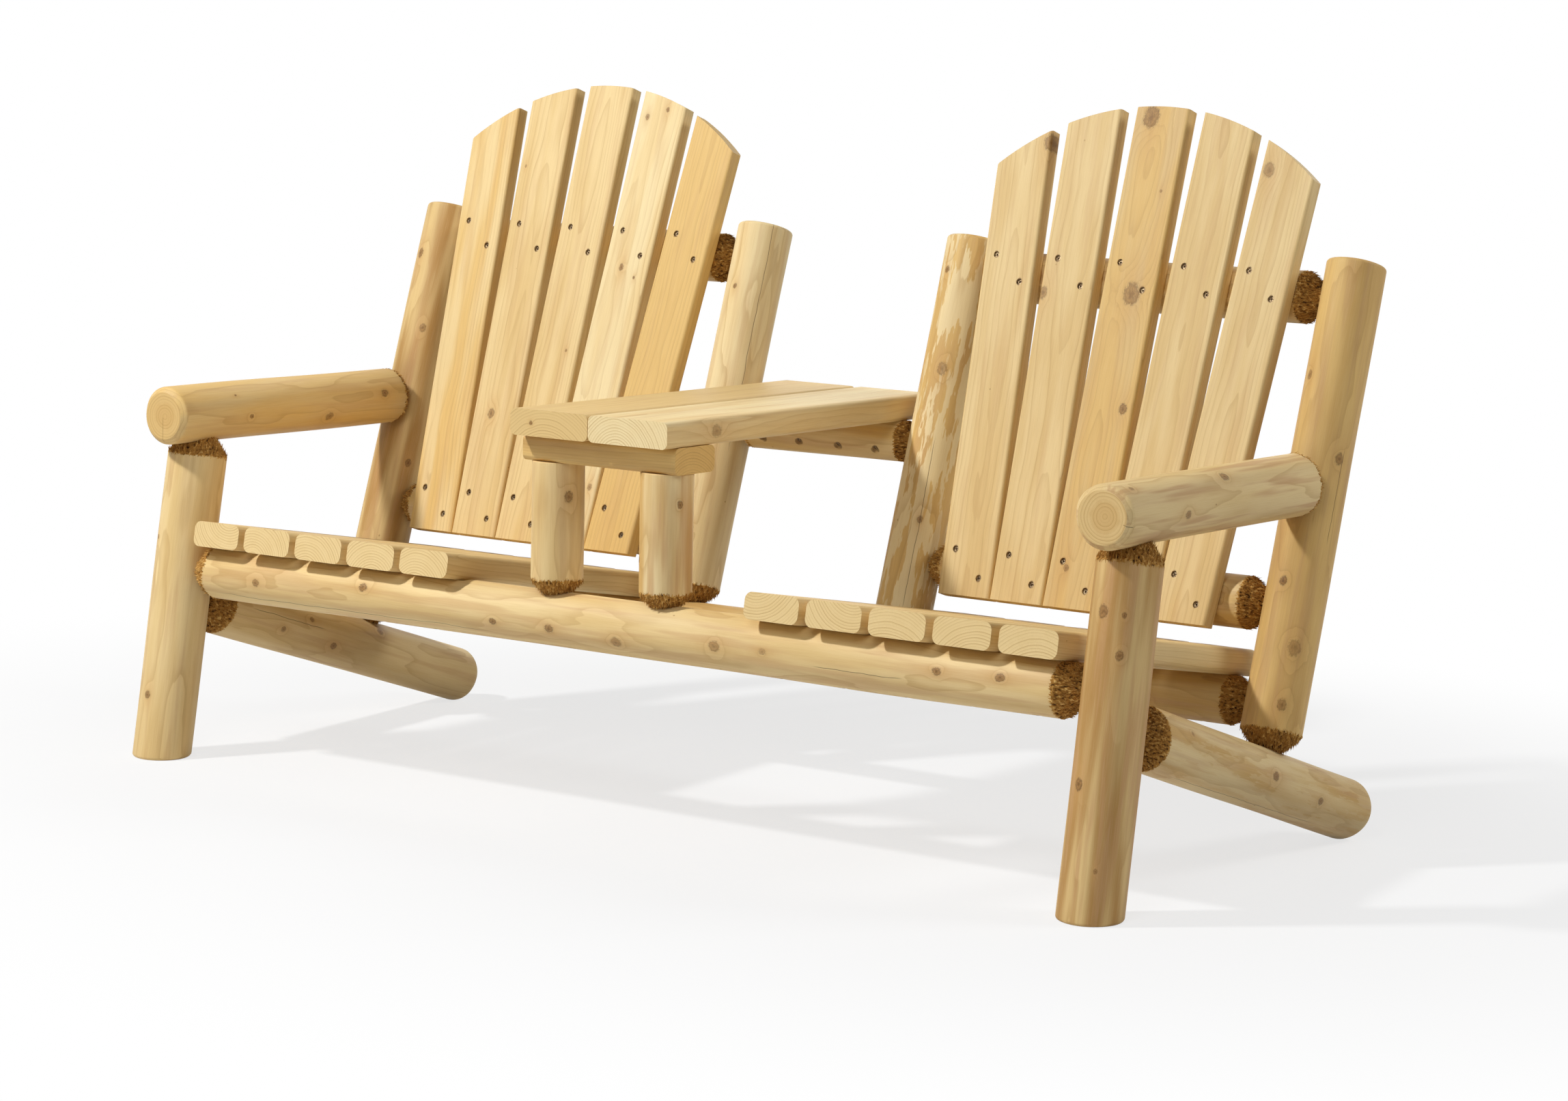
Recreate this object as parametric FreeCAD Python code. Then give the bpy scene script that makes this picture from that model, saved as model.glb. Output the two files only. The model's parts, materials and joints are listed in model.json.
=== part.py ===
import FreeCAD
import Part
import math
import os

# Rustic two-seat log bench with a table between the seats.
# Millimetres and degrees. X runs to the right of someone who faces the bench, Y from the front to the
# back and Z up. Left and right in the names are that viewer's. The origin is on the floor, under the middle.

# Overall size
overall_width = 1701.8
overall_depth = 736.6
overall_height = 1003.3

# Logs
leg_diameter = 88.0
arm_diameter = 86.0
side_rail_diameter = 87.0
back_post_diameter = 84.0
front_rail_diameter = 78.0
rear_rail_diameter = 72.0
back_rail_diameter = 74.0
table_post_diameter = 73.0
table_log_diameter = 62.0

# Lean of the front legs, and of the back with the side rails that it stands square on
leg_lean_angle = 9.0
back_lean_angle = 17.3

# Heights of the log axes over the floor
arm_height = 508.0
front_rail_height = 279.0
rear_rail_height = 213.0
lower_rail_height = 340.0

# The upper rail hangs from the top of the backs, and the posts end over it, a little before the rear plane
upper_rail_below_top = 253.3
post_end_over_rail = 49.0
post_top_rear_inset = 4.7

# Tenoned log ends: a rough cone runs down to a round tenon
big_tenon_diameter = 48.0
small_tenon_diameter = 34.0
rail_cone_half_angle = 36.0
post_cone_half_angle = 45.0
tenon_past_axis = 9.0
tenon_clearance = 0.25
mortise_end_gap = 2.0

# Plain log ends
foot_edge_radius = 5.0
arm_front_edge_radius = 8.0
post_top_edge_radius = 5.0
rail_foot_edge_radius = 18.0
arm_front_overhang = 83.0

# Flats planed on the round logs where boards bear on them
bearing_flat_depth = 4.0
flat_end_margin = 6.0

# Inner back posts and the table between them
inner_post_spacing = 379.0
table_height = 573.5
table_plank_width = 135.0
table_plank_gap = 1.0
table_plank_thickness = 37.0
table_plank_edge_radius = 9.0
table_front_past_rail = 57.0
table_rear_past_posts = 46.0
table_post_spacing = 190.0
cross_board_depth = 88.0
cross_board_thickness = 37.0
cross_board_length = 264.0
cross_board_setback = 24.0
cross_board_edge_radius = 9.0

# Seat slats share the space between a leg and an inner post, less a gap at each side
slats_per_seat = 5
seat_slat_thickness = 37.0
seat_slat_gap = 12.0
seat_slat_edge_radius = 11.0
seat_side_gap = 17.0
seat_inner_gap = 26.4
seat_front_overhang = 51.0
seat_rear_overhang = 45.0

# Back slats: a fan of boards, close at the bottom and spread at the top. Their feet share the space between
# the posts, less a gap at each side.
slats_per_back = 5
back_slat_thickness = 25.0
back_slat_edge_radius = 5.0
back_slat_foot_gap = 0.6
back_fan_side_gap = 50.5
back_slat_fan_step = 1.85
back_slat_foot_height = 310.0
back_slat_arc_radius = 390.0
back_fan_shift = 5.0

# Screws
screw_head_diameter = 8.0
screw_head_height = 3.0
screw_shank_diameter = 4.5
screw_recess_diameter = 9.0
screw_clearance = 0.2
back_screw_recess_depth = 2.5
back_screw_length = 55.0
back_screw_edge_gap = 21.0
back_screw_rise = 38.0
seat_screw_length = 75.0
seat_screw_bite = 24.0
table_screw_length = 60.0
table_screw_bite = 26.0
table_screw_spread = 66.0
log_screw_entry_angle = 62.0
log_screw_lean_angle = 42.0
post_cap_screw_spread = 34.0

# Length added to a cutter so that it passes right through
overrun = 20.0

V = FreeCAD.Vector
turn = 360.0
half = 0.5
right = V(1, 0, 0)
back = V(0, 1, 0)
up = V(0, 0, 1)
down = V(0, 0, -1)
origin = V(0, 0, 0)

leg_radius = leg_diameter * half
arm_radius = arm_diameter * half
side_rail_radius = side_rail_diameter * half
back_post_radius = back_post_diameter * half
front_rail_radius = front_rail_diameter * half
rear_rail_radius = rear_rail_diameter * half
back_rail_radius = back_rail_diameter * half
table_post_radius = table_post_diameter * half
table_log_radius = table_log_diameter * half
upper_rail_height = overall_height - upper_rail_below_top
back_post_height = upper_rail_height + post_end_over_rail
big_tenon_radius = big_tenon_diameter * half
small_tenon_radius = small_tenon_diameter * half

leg_lean = math.radians(leg_lean_angle)
back_lean = math.radians(back_lean_angle)
fan_step = math.radians(back_slat_fan_step)
rail_cone_slope = math.tan(math.radians(rail_cone_half_angle))
post_cone_slope = math.tan(math.radians(post_cone_half_angle))

leg_dir = V(0, math.sin(leg_lean), math.cos(leg_lean))
post_dir = V(0, math.sin(back_lean), math.cos(back_lean))
rail_dir = V(0, math.cos(back_lean), -math.sin(back_lean))
post_front = V(0, -math.cos(back_lean), math.sin(back_lean))

side_x = overall_width * half - leg_radius
inner_x = inner_post_spacing * half
front_y = -overall_depth * half
rear_y = overall_depth * half
foot_roll = foot_edge_radius * math.tan(leg_lean)
leg_foot_y = front_y + leg_radius / math.cos(leg_lean) - foot_roll


def leg_axis(x, height):
    """Point on a front leg's axis at a height over the floor."""
    return V(x, leg_foot_y, 0) + leg_dir * (height / math.cos(leg_lean))


# The side rails' rounded rear ends reach the rear plane, and the posts' top edge stays a little before it.
post_core = back_post_radius - post_top_edge_radius
post_top_y = rear_y - post_top_rear_inset - post_top_edge_radius - post_core * math.cos(back_lean)
post_top_z = back_post_height - post_top_edge_radius * math.cos(back_lean)
post_foot_y = post_top_y - post_top_z * math.tan(back_lean)


def post_axis(x, height):
    """Point on a back post's axis at a height over the floor."""
    return V(x, post_foot_y, 0) + post_dir * (height / math.cos(back_lean))


def back_place(x, along, forward):
    """Point in the leaning back: across, up along the posts, and out to the front of their axes."""
    return V(x, post_foot_y, 0) + post_dir * along + post_front * forward


def side_rail_line(x):
    """Where a side rail's axis starts on the leg axis, and how long it is from there."""
    core = side_rail_radius - rail_foot_edge_radius
    rear = V(x, 0, 0)
    rear.y = rear_y - rail_foot_edge_radius - core * math.sin(back_lean)
    rear.z = rail_foot_edge_radius + core * math.cos(back_lean)
    across_leg = V(0, math.cos(leg_lean), -math.sin(leg_lean))
    run = (rear - V(x, leg_foot_y, 0)).dot(across_leg) / rail_dir.dot(across_leg)
    return rear - rail_dir * run, run + rail_foot_edge_radius


def rim_distance(holder_radius, tenon_radius):
    """Distance from a log's axis to the sides of a round hole that meets it square."""
    return math.sqrt(holder_radius ** 2 - tenon_radius ** 2)


def placed(shape, base, direction):
    """The shape, drawn along Z from zero, set at a base point along a direction."""
    spot = shape.copy()
    spot.Placement = FreeCAD.Placement(base, FreeCAD.Rotation(up, direction))
    return spot


def tenon_profile(radius, seat, grow, end_gap):
    """Radius and place of a tenoned end's corners, measured from the holder's axis outwards."""
    holder_radius, tenon_radius, cone_slope = seat
    rim = rim_distance(holder_radius, tenon_radius)
    shoulder = rim + (radius - tenon_radius) / cone_slope
    tip = -tenon_past_axis - end_gap
    return [(0, tip), (tenon_radius + grow, tip), (tenon_radius + grow, rim), (radius + grow, shoulder)]


def turned(outline):
    """A solid of revolution about Z from points of radius and height."""
    points = [V(radius, 0, height) for radius, height in outline]
    points.append(points[0])
    face = Part.Face(Part.makePolygon(points))
    return face.revolve(origin, up, turn)


class Log:
    """A round log along one axis, with each end either tenoned or plain."""

    def __init__(self, start, finish, radius):
        self.start = start
        self.finish = finish
        self.radius = radius
        self.axis = (finish - start).normalize()
        self.length = (finish - start).Length
        self.ends = {}

    def tenon(self, end, holder_radius, tenon_radius, cone_slope):
        """Give an end a cone and tenon. The end point lies on the holder's axis."""
        self.ends[end] = ("tenon", (holder_radius, tenon_radius, cone_slope))
        return self

    def plain(self, end, edge_radius):
        """Give an end a flat face with a rolled edge."""
        self.ends[end] = ("plain", edge_radius)
        return self

    def end_points(self, end):
        """Outline of one end from the axis outwards, measured inwards from the end point."""
        kind, detail = self.ends[end]
        if kind == "tenon":
            return tenon_profile(self.radius, detail, 0, 0)
        return [(0, 0), (self.radius, 0)]

    def solid(self):
        """The log with its ends, without the cuts of its neighbours."""
        first = self.end_points("start")
        last = [(radius, self.length - height) for radius, height in self.end_points("finish")]
        last.reverse()
        shape = turned(first + last)
        for end, height in (("start", 0), ("finish", self.length)):
            if self.ends[end][0] == "plain" and self.ends[end][1] > 0:
                shape = roll_edges(shape, height, self.ends[end][1])
        return placed(shape, self.start, self.axis)

    def mortise(self, end):
        """The cutter for the hole that takes one tenoned end of this log."""
        grow = tenon_clearance
        outline = tenon_profile(self.radius, self.ends[end][1], grow, mortise_end_gap)
        reach = outline[-1][1] + overrun
        outline.append((self.radius + grow, reach))
        outline.append((0, reach))
        if end == "start":
            return placed(turned(outline), self.start, self.axis)
        return placed(turned(outline), self.finish, self.axis.negative())


def roll_edges(shape, height, edge_radius):
    """Round the circular edge at one height of a solid drawn along Z."""
    rims = []
    for edge in shape.Edges:
        box = edge.BoundBox
        level = abs(box.ZMin - height) + abs(box.ZMax - height)
        if level < edge_radius and edge.Closed:
            rims.append(edge)
    return shape.makeFillet(edge_radius, rims)


def board(length, width, thickness, edge_radius):
    """A board along Z, centred on X and Y, with its four long edges rounded."""
    shape = Part.makeBox(width, thickness, length, V(-width * half, -thickness * half, 0))
    long_edges = [e for e in shape.Edges if abs(e.tangentAt(e.FirstParameter).z) > half]
    return shape.makeFillet(edge_radius, long_edges)


def screw(head, direction, length):
    """A countersunk screw from the middle of its head face along a direction."""
    head_radius = screw_head_diameter * half
    shank_radius = screw_shank_diameter * half
    tip = length - screw_shank_diameter
    outline = [(0, 0), (head_radius, 0), (shank_radius, screw_head_height)]
    outline += [(shank_radius, tip), (0, length)]
    return placed(turned(outline), head, direction)


def screw_hole(head, direction, length, recess):
    """The cutter for a screw: its own shape with clearance, and the recess over its head."""
    grow = screw_clearance
    bore_radius = screw_recess_diameter * half
    shank_radius = screw_shank_diameter * half + grow
    outline = [(0, -recess), (bore_radius, -recess), (bore_radius, grow)]
    outline += [(shank_radius, screw_head_height + grow), (shank_radius, length), (0, length + grow)]
    return placed(turned(outline), head, direction)


def flat_cutter(x_from, x_to, bearing, outward):
    """A block that planes a flat, between two places across, at a point with an outward normal."""
    span = x_to - x_from
    size = front_rail_diameter + overrun
    block = Part.makeBox(span, size, size, V(x_from, -size * half, 0))
    block.Placement = FreeCAD.Placement(V(0, bearing.y, bearing.z), FreeCAD.Rotation(up, outward))
    return block


parts = {}
cutters = {}


def add(name, shape):
    """Keep one sub-part under its name."""
    parts[name] = shape
    cutters.setdefault(name, [])


def cut_in(name, cutter):
    """Note a cutter for a sub-part, to be used at the end."""
    cutters.setdefault(name, []).append(cutter)


sides = (("left", -1), ("right", 1))

# Front legs, arms and side rails
for side, sign in sides:
    x = sign * side_x
    top = leg_axis(x, arm_height)
    below = leg_axis(x, -leg_diameter)
    leg = Log(below, top, leg_radius).plain("start", 0)
    leg.tenon("finish", arm_radius, big_tenon_radius, rail_cone_slope)
    ground = V(-overall_width * half, -overall_depth, -overall_depth)
    under_floor = Part.makeBox(overall_width, overall_depth + rear_y, overall_depth, ground)
    foot = leg.solid().cut(under_floor)
    rim = [e for e in foot.Edges if abs(e.BoundBox.ZMax) < foot_edge_radius * half]
    add(side + "_front_leg", foot.makeFillet(foot_edge_radius, rim))

    arm_back = post_axis(x, arm_height)
    arm_start = top - V(0, arm_front_overhang, 0)
    arm = Log(arm_start, arm_back, arm_radius).plain("start", arm_front_edge_radius)
    arm.tenon("finish", back_post_radius, small_tenon_radius, post_cone_slope)
    add(side + "_arm", arm.solid())
    cut_in(side + "_arm", leg.mortise("finish"))
    cut_in(side + "_outer_back_post", arm.mortise("finish"))

    rail_start, rail_length = side_rail_line(x)
    rail = Log(rail_start, rail_start + rail_dir * rail_length, side_rail_radius)
    rail.tenon("start", leg_radius, small_tenon_radius, rail_cone_slope)
    rail.plain("finish", rail_foot_edge_radius)
    add(side + "_side_rail", rail.solid())
    cut_in(side + "_front_leg", rail.mortise("start"))

# Back posts: the outer pair stands on the side rails, the inner pair on the rear seat rail
for side, sign in sides:
    rail_start, rail_length = side_rail_line(sign * side_x)
    stand = (post_axis(sign * side_x, 0) - rail_start).dot(rail_dir)
    outer_foot = rail_start + rail_dir * stand
    inner_foot = post_axis(sign * inner_x, rear_rail_height)
    places = (
        ("outer", sign * side_x, outer_foot, side_rail_radius, side + "_side_rail"),
        ("inner", sign * inner_x, inner_foot, rear_rail_radius, "rear_seat_rail"),
    )
    for place, x, stand_point, holder_radius, holder in places:
        post = Log(stand_point, post_axis(x, back_post_height), back_post_radius)
        post.tenon("start", holder_radius, small_tenon_radius, post_cone_slope)
        post.plain("finish", post_top_edge_radius)
        add(side + "_" + place + "_back_post", post.solid())
        cut_in(holder, post.mortise("start"))

# Cross rails, each tenoned into the logs at its two ends
front_rail = Log(leg_axis(-side_x, front_rail_height), leg_axis(side_x, front_rail_height), front_rail_radius)
rear_rail = Log(post_axis(-side_x, rear_rail_height), post_axis(side_x, rear_rail_height), rear_rail_radius)
table_underside = table_height - table_plank_thickness
table_log_height = table_underside + bearing_flat_depth - table_log_radius
table_log = Log(post_axis(-inner_x, table_log_height), post_axis(inner_x, table_log_height), table_log_radius)
cross_logs = [
    ("front_seat_rail", front_rail, "left_front_leg", "right_front_leg", leg_radius),
    ("rear_seat_rail", rear_rail, "left_outer_back_post", "right_outer_back_post", back_post_radius),
    ("table_rear_log", table_log, "left_inner_back_post", "right_inner_back_post", back_post_radius),
]
for side, sign in sides:
    outer_post = side + "_outer_back_post"
    inner_post = side + "_inner_back_post"
    for level, height in (("lower", lower_rail_height), ("upper", upper_rail_height)):
        outer_end = post_axis(sign * side_x, height)
        inner_end = post_axis(sign * inner_x, height)
        rail = Log(outer_end, inner_end, back_rail_radius)
        name = side + "_" + level + "_back_rail"
        cross_logs.append((name, rail, outer_post, inner_post, back_post_radius))
for name, rail, start_holder, finish_holder, holder_radius in cross_logs:
    for end in ("start", "finish"):
        rail.tenon(end, holder_radius, small_tenon_radius, rail_cone_slope)
    add(name, rail.solid())
    cut_in(start_holder, rail.mortise("start"))
    cut_in(finish_holder, rail.mortise("finish"))

# Seat plane: it lies on the flats of the front and rear seat rails
front_axis = leg_axis(0, front_rail_height)
rear_axis = post_axis(0, rear_rail_height)
between = rear_axis - front_axis
rise_gap = (front_rail_radius - rear_rail_radius) / between.Length
seat_angle = math.atan2(-between.z, between.y) + math.asin(rise_gap)
seat_dir = V(0, math.cos(seat_angle), -math.sin(seat_angle))
seat_up = V(0, math.sin(seat_angle), math.cos(seat_angle))
front_bearing = front_axis + seat_up * (front_rail_radius - bearing_flat_depth)
rear_bearing = rear_axis + seat_up * (rear_rail_radius - bearing_flat_depth)
bearing_run = (rear_bearing - front_bearing).dot(seat_dir)
seat_slat_length = seat_front_overhang + bearing_run + seat_rear_overhang
seat_outer_x = side_x - leg_radius - seat_side_gap
seat_inner_x = inner_x + back_post_radius + seat_inner_gap
seat_boards = seat_outer_x - seat_inner_x - seat_slat_gap * (slats_per_seat - 1)
seat_slat_width = seat_boards / slats_per_seat
seat_pitch = seat_slat_width + seat_slat_gap

seat_screws = {"front": [], "rear": []}
for side, sign in sides:
    for index in range(slats_per_seat):
        count = index if sign < 0 else slats_per_seat - 1 - index
        x = sign * (seat_outer_x - seat_slat_width * half - seat_pitch * count)
        lower_front = front_bearing - seat_dir * seat_front_overhang
        base = V(x, lower_front.y, lower_front.z) + seat_up * (seat_slat_thickness * half)
        slat = board(seat_slat_length, seat_slat_width, seat_slat_thickness, seat_slat_edge_radius)
        slat.Placement = FreeCAD.Placement(base, FreeCAD.Rotation(right, seat_up.negative(), seat_dir, "ZXY"))
        name = side + "_seat_slat_" + str(index + 1)
        add(name, slat)
        for rail_name, bearing in (("front", front_bearing), ("rear", rear_bearing)):
            head = V(x, bearing.y, bearing.z) - seat_up * (seat_screw_length - seat_screw_bite)
            recess = front_rail_diameter + overrun
            hole = screw_hole(head, seat_up, seat_screw_length, recess)
            seat_screws[rail_name].append(screw(head, seat_up, seat_screw_length))
            cut_in(name, hole)
            cut_in(rail_name + "_seat_rail", hole)
    flat_from = seat_inner_x - flat_end_margin
    flat_to = seat_outer_x + flat_end_margin
    low, high = sorted((sign * flat_from, sign * flat_to))
    cut_in("front_seat_rail", flat_cutter(low, high, front_bearing, seat_up))
    cut_in("rear_seat_rail", flat_cutter(low, high, rear_bearing, seat_up))

# Back slats on the flats at the front of the back rails
slat_back = back_rail_radius - bearing_flat_depth
slat_front = slat_back + back_slat_thickness
fan_foot_width = side_x - inner_x - back_post_diameter - back_fan_side_gap * 2
fan_boards = fan_foot_width - back_slat_foot_gap * (slats_per_back - 1)
back_slat_width = fan_boards / slats_per_back
back_screw_spread = back_slat_width - back_screw_edge_gap * 2
foot_pitch = back_slat_width + back_slat_foot_gap
arc_top = (overall_height - slat_front * math.sin(back_lean)) / math.cos(back_lean)
foot_along = back_slat_foot_height


def back_slat(step):
    """One back slat, drawn flat: X across from the fan's middle, Y up, Z to the front."""
    blank_length = arc_top - foot_along + overrun * 2
    blank = board(blank_length, back_slat_width, back_slat_thickness, back_slat_edge_radius)
    middle = V(0, -overrun, back_slat_thickness * half)
    blank.Placement = FreeCAD.Placement(middle, FreeCAD.Rotation(right, down, back, "ZXY"))
    blank.rotate(origin, up, -step * back_slat_fan_step)
    blank.translate(V(step * foot_pitch, 0, 0))
    wide = overall_width
    corner = V(-wide * half, -wide, -wide * half)
    below = Part.makeBox(wide, wide, wide, corner)
    centre = V(0, arc_top - foot_along - back_slat_arc_radius, -overrun)
    disc = Part.makeCylinder(back_slat_arc_radius, back_slat_thickness + overrun * 2, centre, up)
    under_arc = Part.makeBox(wide, wide + centre.y, wide, corner)
    return blank.cut(below).common(disc.fuse(under_arc))


back_screws = {"left": [], "right": []}
for side, sign in sides:
    fan_x = sign * ((inner_x + side_x) * half - back_fan_shift)
    for index in range(slats_per_back):
        step = index - (slats_per_back - 1) // 2
        slat = back_slat(step)
        fan_foot = back_place(fan_x, foot_along, slat_back)
        slat.Placement = FreeCAD.Placement(fan_foot, FreeCAD.Rotation(right, post_dir, post_front, "ZXY"))
        name = side + "_back_slat_" + str(index + 1)
        add(name, slat)
        for level, height in (("lower", lower_rail_height), ("upper", upper_rail_height)):
            along = height / math.cos(back_lean)
            for way in (-1, 1):
                screw_along = along - way * back_screw_rise * half
                lean_x = math.tan(step * fan_step) * (screw_along - foot_along)
                screw_x = fan_x + step * foot_pitch + lean_x + way * back_screw_spread * half
                head = back_place(screw_x, screw_along, slat_front - back_screw_recess_depth)
                inward = post_front.negative()
                back_screws[side].append(screw(head, inward, back_screw_length))
                hole = screw_hole(head, inward, back_screw_length, back_screw_recess_depth + overrun)
                cut_in(name, hole)
                cut_in(side + "_" + level + "_back_rail", hole)
    reach = back_slat_width * half + foot_pitch * (slats_per_back // 2) + flat_end_margin
    for level, height in (("lower", lower_rail_height), ("upper", upper_rail_height)):
        along = height / math.cos(back_lean)
        spread = math.tan(slats_per_back // 2 * fan_step) * (along - foot_along)
        bearing = back_place(0, along, slat_back)
        flat = flat_cutter(fan_x - reach - spread, fan_x + reach + spread, bearing, post_front)
        cut_in(side + "_" + level + "_back_rail", flat)

# Table between the seats
table_front_y = front_axis.y - table_front_past_rail
table_rear_y = post_axis(0, table_height).y + table_rear_past_posts
board_bottom = table_underside - cross_board_thickness
board_front_y = table_front_y + cross_board_setback
board_mid_y = board_front_y + cross_board_depth * half
plank_length = table_rear_y - table_front_y
plank_offset = (table_plank_width + table_plank_gap) * half
board_screws = []
log_screws = []
cap_screws = []
log_flat_y = post_axis(0, table_log_height).y

for side, sign in sides:
    plank = board(plank_length, table_plank_width, table_plank_thickness, table_plank_edge_radius)
    middle = V(sign * plank_offset, table_front_y, table_height - table_plank_thickness * half)
    plank.Placement = FreeCAD.Placement(middle, FreeCAD.Rotation(right, down, back, "ZXY"))
    name = side + "_table_plank"
    add(name, plank)

    post_foot = V(sign * table_post_spacing * half, front_axis.y, front_axis.z)
    post_top = V(post_foot.x, post_foot.y, board_bottom)
    post = Log(post_foot, post_top, table_post_radius)
    post.tenon("start", front_rail_radius, small_tenon_radius, post_cone_slope).plain("finish", 0)
    add(side + "_table_post", post.solid())
    cut_in("front_seat_rail", post.mortise("start"))

    for way in (-1, 1):
        screw_x = sign * plank_offset + way * table_screw_spread * half
        head = V(screw_x, board_mid_y, table_underside + table_screw_bite - table_screw_length)
        board_screws.append(screw(head, up, table_screw_length))
        hole = screw_hole(head, up, table_screw_length, cross_board_thickness + overrun)
        cut_in("table_cross_board", hole)
        cut_in(name, hole)

        entry = math.radians(log_screw_entry_angle)
        lean = math.radians(log_screw_lean_angle)
        drive = V(0, math.sin(lean), math.cos(lean))
        log_middle = V(screw_x, log_flat_y, table_log_height)
        skin = log_middle + V(0, -math.sin(entry), -math.cos(entry)) * table_log_radius
        head = skin + drive * back_screw_recess_depth
        log_screws.append(screw(head, drive, seat_screw_length))
        hole = screw_hole(head, drive, seat_screw_length, overrun)
        cut_in("table_rear_log", hole)
        cut_in(name, hole)

        screw_x = post_foot.x + way * post_cap_screw_spread * half
        head = V(screw_x, post_foot.y, table_underside - screw_clearance)
        cap_screws.append(screw(head, up.negative(), table_screw_length))
        hole = screw_hole(head, up.negative(), table_screw_length, overrun)
        cut_in("table_cross_board", hole)
        cut_in(side + "_table_post", hole)

cross_board = board(cross_board_length, cross_board_depth, cross_board_thickness, cross_board_edge_radius)
board_end = V(-cross_board_length * half, board_mid_y, table_underside - cross_board_thickness * half)
cross_board.Placement = FreeCAD.Placement(board_end, FreeCAD.Rotation(back, up, right, "ZXY"))
add("table_cross_board", cross_board)
flat_reach = table_plank_width + table_plank_gap * half + flat_end_margin * half
log_flat = flat_cutter(-flat_reach, flat_reach, V(0, log_flat_y, table_underside), up)
cut_in("table_rear_log", log_flat)

for group, screws in (
    ("left_back_screws", back_screws["left"]),
    ("right_back_screws", back_screws["right"]),
    ("front_seat_screws", seat_screws["front"]),
    ("rear_seat_screws", seat_screws["rear"]),
    ("table_board_screws", board_screws),
    ("table_log_screws", log_screws),
    ("table_post_screws", cap_screws),
):
    add(group, Part.makeCompound(screws))

os.makedirs("parts", exist_ok=True)
for name in sorted(parts):
    shape = parts[name]
    if cutters[name]:
        shape = shape.cut(cutters[name])
    shape.exportStep(os.path.join("parts", name + ".step"))
    print(name, len(shape.Solids), "solids, valid:", shape.isValid(), ", volume", round(shape.Volume))
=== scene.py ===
# %% [markdown]
# # A rustic log bench
# The bench is 19 peeled cedar logs, 23 sawn boards and 72 screws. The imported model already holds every
# piece at its real size and place, so this lesson only dresses it: new meshes for the logs and screws,
# because real peeled logs are never quite round and their cut ends are torn, and one kind of wood material
# that is solid all the way through, so that grain on the side of a board meets the rings on its end.

# %% Load the bench and keep its box
import json
import math

import bmesh
import bpy
import numpy as np
from mathutils import Matrix, Vector

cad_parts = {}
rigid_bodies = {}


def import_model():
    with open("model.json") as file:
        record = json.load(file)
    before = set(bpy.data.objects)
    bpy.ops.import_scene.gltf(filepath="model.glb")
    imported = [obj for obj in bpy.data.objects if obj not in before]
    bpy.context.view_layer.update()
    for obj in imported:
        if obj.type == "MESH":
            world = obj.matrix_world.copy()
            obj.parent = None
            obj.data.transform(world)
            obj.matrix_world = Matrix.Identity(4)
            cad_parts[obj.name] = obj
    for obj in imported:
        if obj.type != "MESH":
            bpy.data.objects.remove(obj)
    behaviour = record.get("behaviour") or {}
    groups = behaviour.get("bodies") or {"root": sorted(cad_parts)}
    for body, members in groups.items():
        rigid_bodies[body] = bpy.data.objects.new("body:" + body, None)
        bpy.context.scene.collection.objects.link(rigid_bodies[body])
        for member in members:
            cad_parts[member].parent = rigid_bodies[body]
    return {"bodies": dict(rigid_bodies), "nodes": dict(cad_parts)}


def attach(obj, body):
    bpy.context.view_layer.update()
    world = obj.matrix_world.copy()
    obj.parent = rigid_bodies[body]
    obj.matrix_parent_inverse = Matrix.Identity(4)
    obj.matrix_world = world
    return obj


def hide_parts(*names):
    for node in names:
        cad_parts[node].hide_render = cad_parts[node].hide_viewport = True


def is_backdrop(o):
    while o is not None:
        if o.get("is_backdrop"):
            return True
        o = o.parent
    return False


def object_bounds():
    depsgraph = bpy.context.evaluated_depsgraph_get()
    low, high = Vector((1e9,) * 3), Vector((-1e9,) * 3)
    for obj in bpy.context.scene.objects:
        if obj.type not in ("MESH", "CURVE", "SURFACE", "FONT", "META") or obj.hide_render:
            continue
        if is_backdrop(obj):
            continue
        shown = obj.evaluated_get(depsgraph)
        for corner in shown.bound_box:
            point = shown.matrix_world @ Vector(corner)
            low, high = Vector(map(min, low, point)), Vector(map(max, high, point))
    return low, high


for leftover in list(bpy.data.objects):
    bpy.data.objects.remove(leftover)
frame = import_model()
cad_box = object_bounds()
nodes = frame["nodes"]
body = next(iter(frame["bodies"]))
MM = 0.001
print("pieces:", len(nodes), "body:", body)


def put(name, data):
    """A new object in the scene."""
    made = bpy.data.objects.new(name, data)
    bpy.context.scene.collection.objects.link(made)
    return made


# %% [markdown]
# ## Reading a piece's own directions
# A log or board has a direction of its own, and grain follows it. We could type each angle in, but the
# model knows them: on a log, every face round the body looks away from the axis, so the axis is the one
# direction that none of those faces looks along. On a board, the widest faces give its thickness and the
# next its width.

# %% Faces of a piece, in millimetres
NO_AREA = 1e-9


def faces_of(name):
    """Corner points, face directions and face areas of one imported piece."""
    mesh = nodes[name].data
    points = np.empty(len(mesh.vertices) * 3)
    mesh.vertices.foreach_get("co", points)
    points = points.reshape(-1, 3) / MM
    mesh.calc_loop_triangles()
    corners = np.empty(len(mesh.loop_triangles) * 3, np.int32)
    mesh.loop_triangles.foreach_get("vertices", corners)
    a, b, c = (points[corners.reshape(-1, 3)[:, k]] for k in range(3))
    across = np.cross(b - a, c - a)
    size = np.linalg.norm(across, axis=1)
    good = size > NO_AREA
    return points, across[good] / size[good, None], size[good] / 2


class Spot:
    """A piece's own frame: origin and three directions, the third one along the grain."""

    def __init__(self, origin, across, through, along):
        self.origin = np.array(origin, float)
        self.axes = np.array((across, through, along), float)

    def local(self, points):
        return (np.asarray(points, float) - self.origin) @ self.axes.T

    def world(self, points):
        return np.asarray(points, float) @ self.axes + self.origin


# %% Axis, radius and ends of a log
ALONG_LIMITS = (0.3, 0.06, 0.02)
ON_SKIN, ON_TENON, ON_TIP = 0.6, 0.2, 0.3


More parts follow.
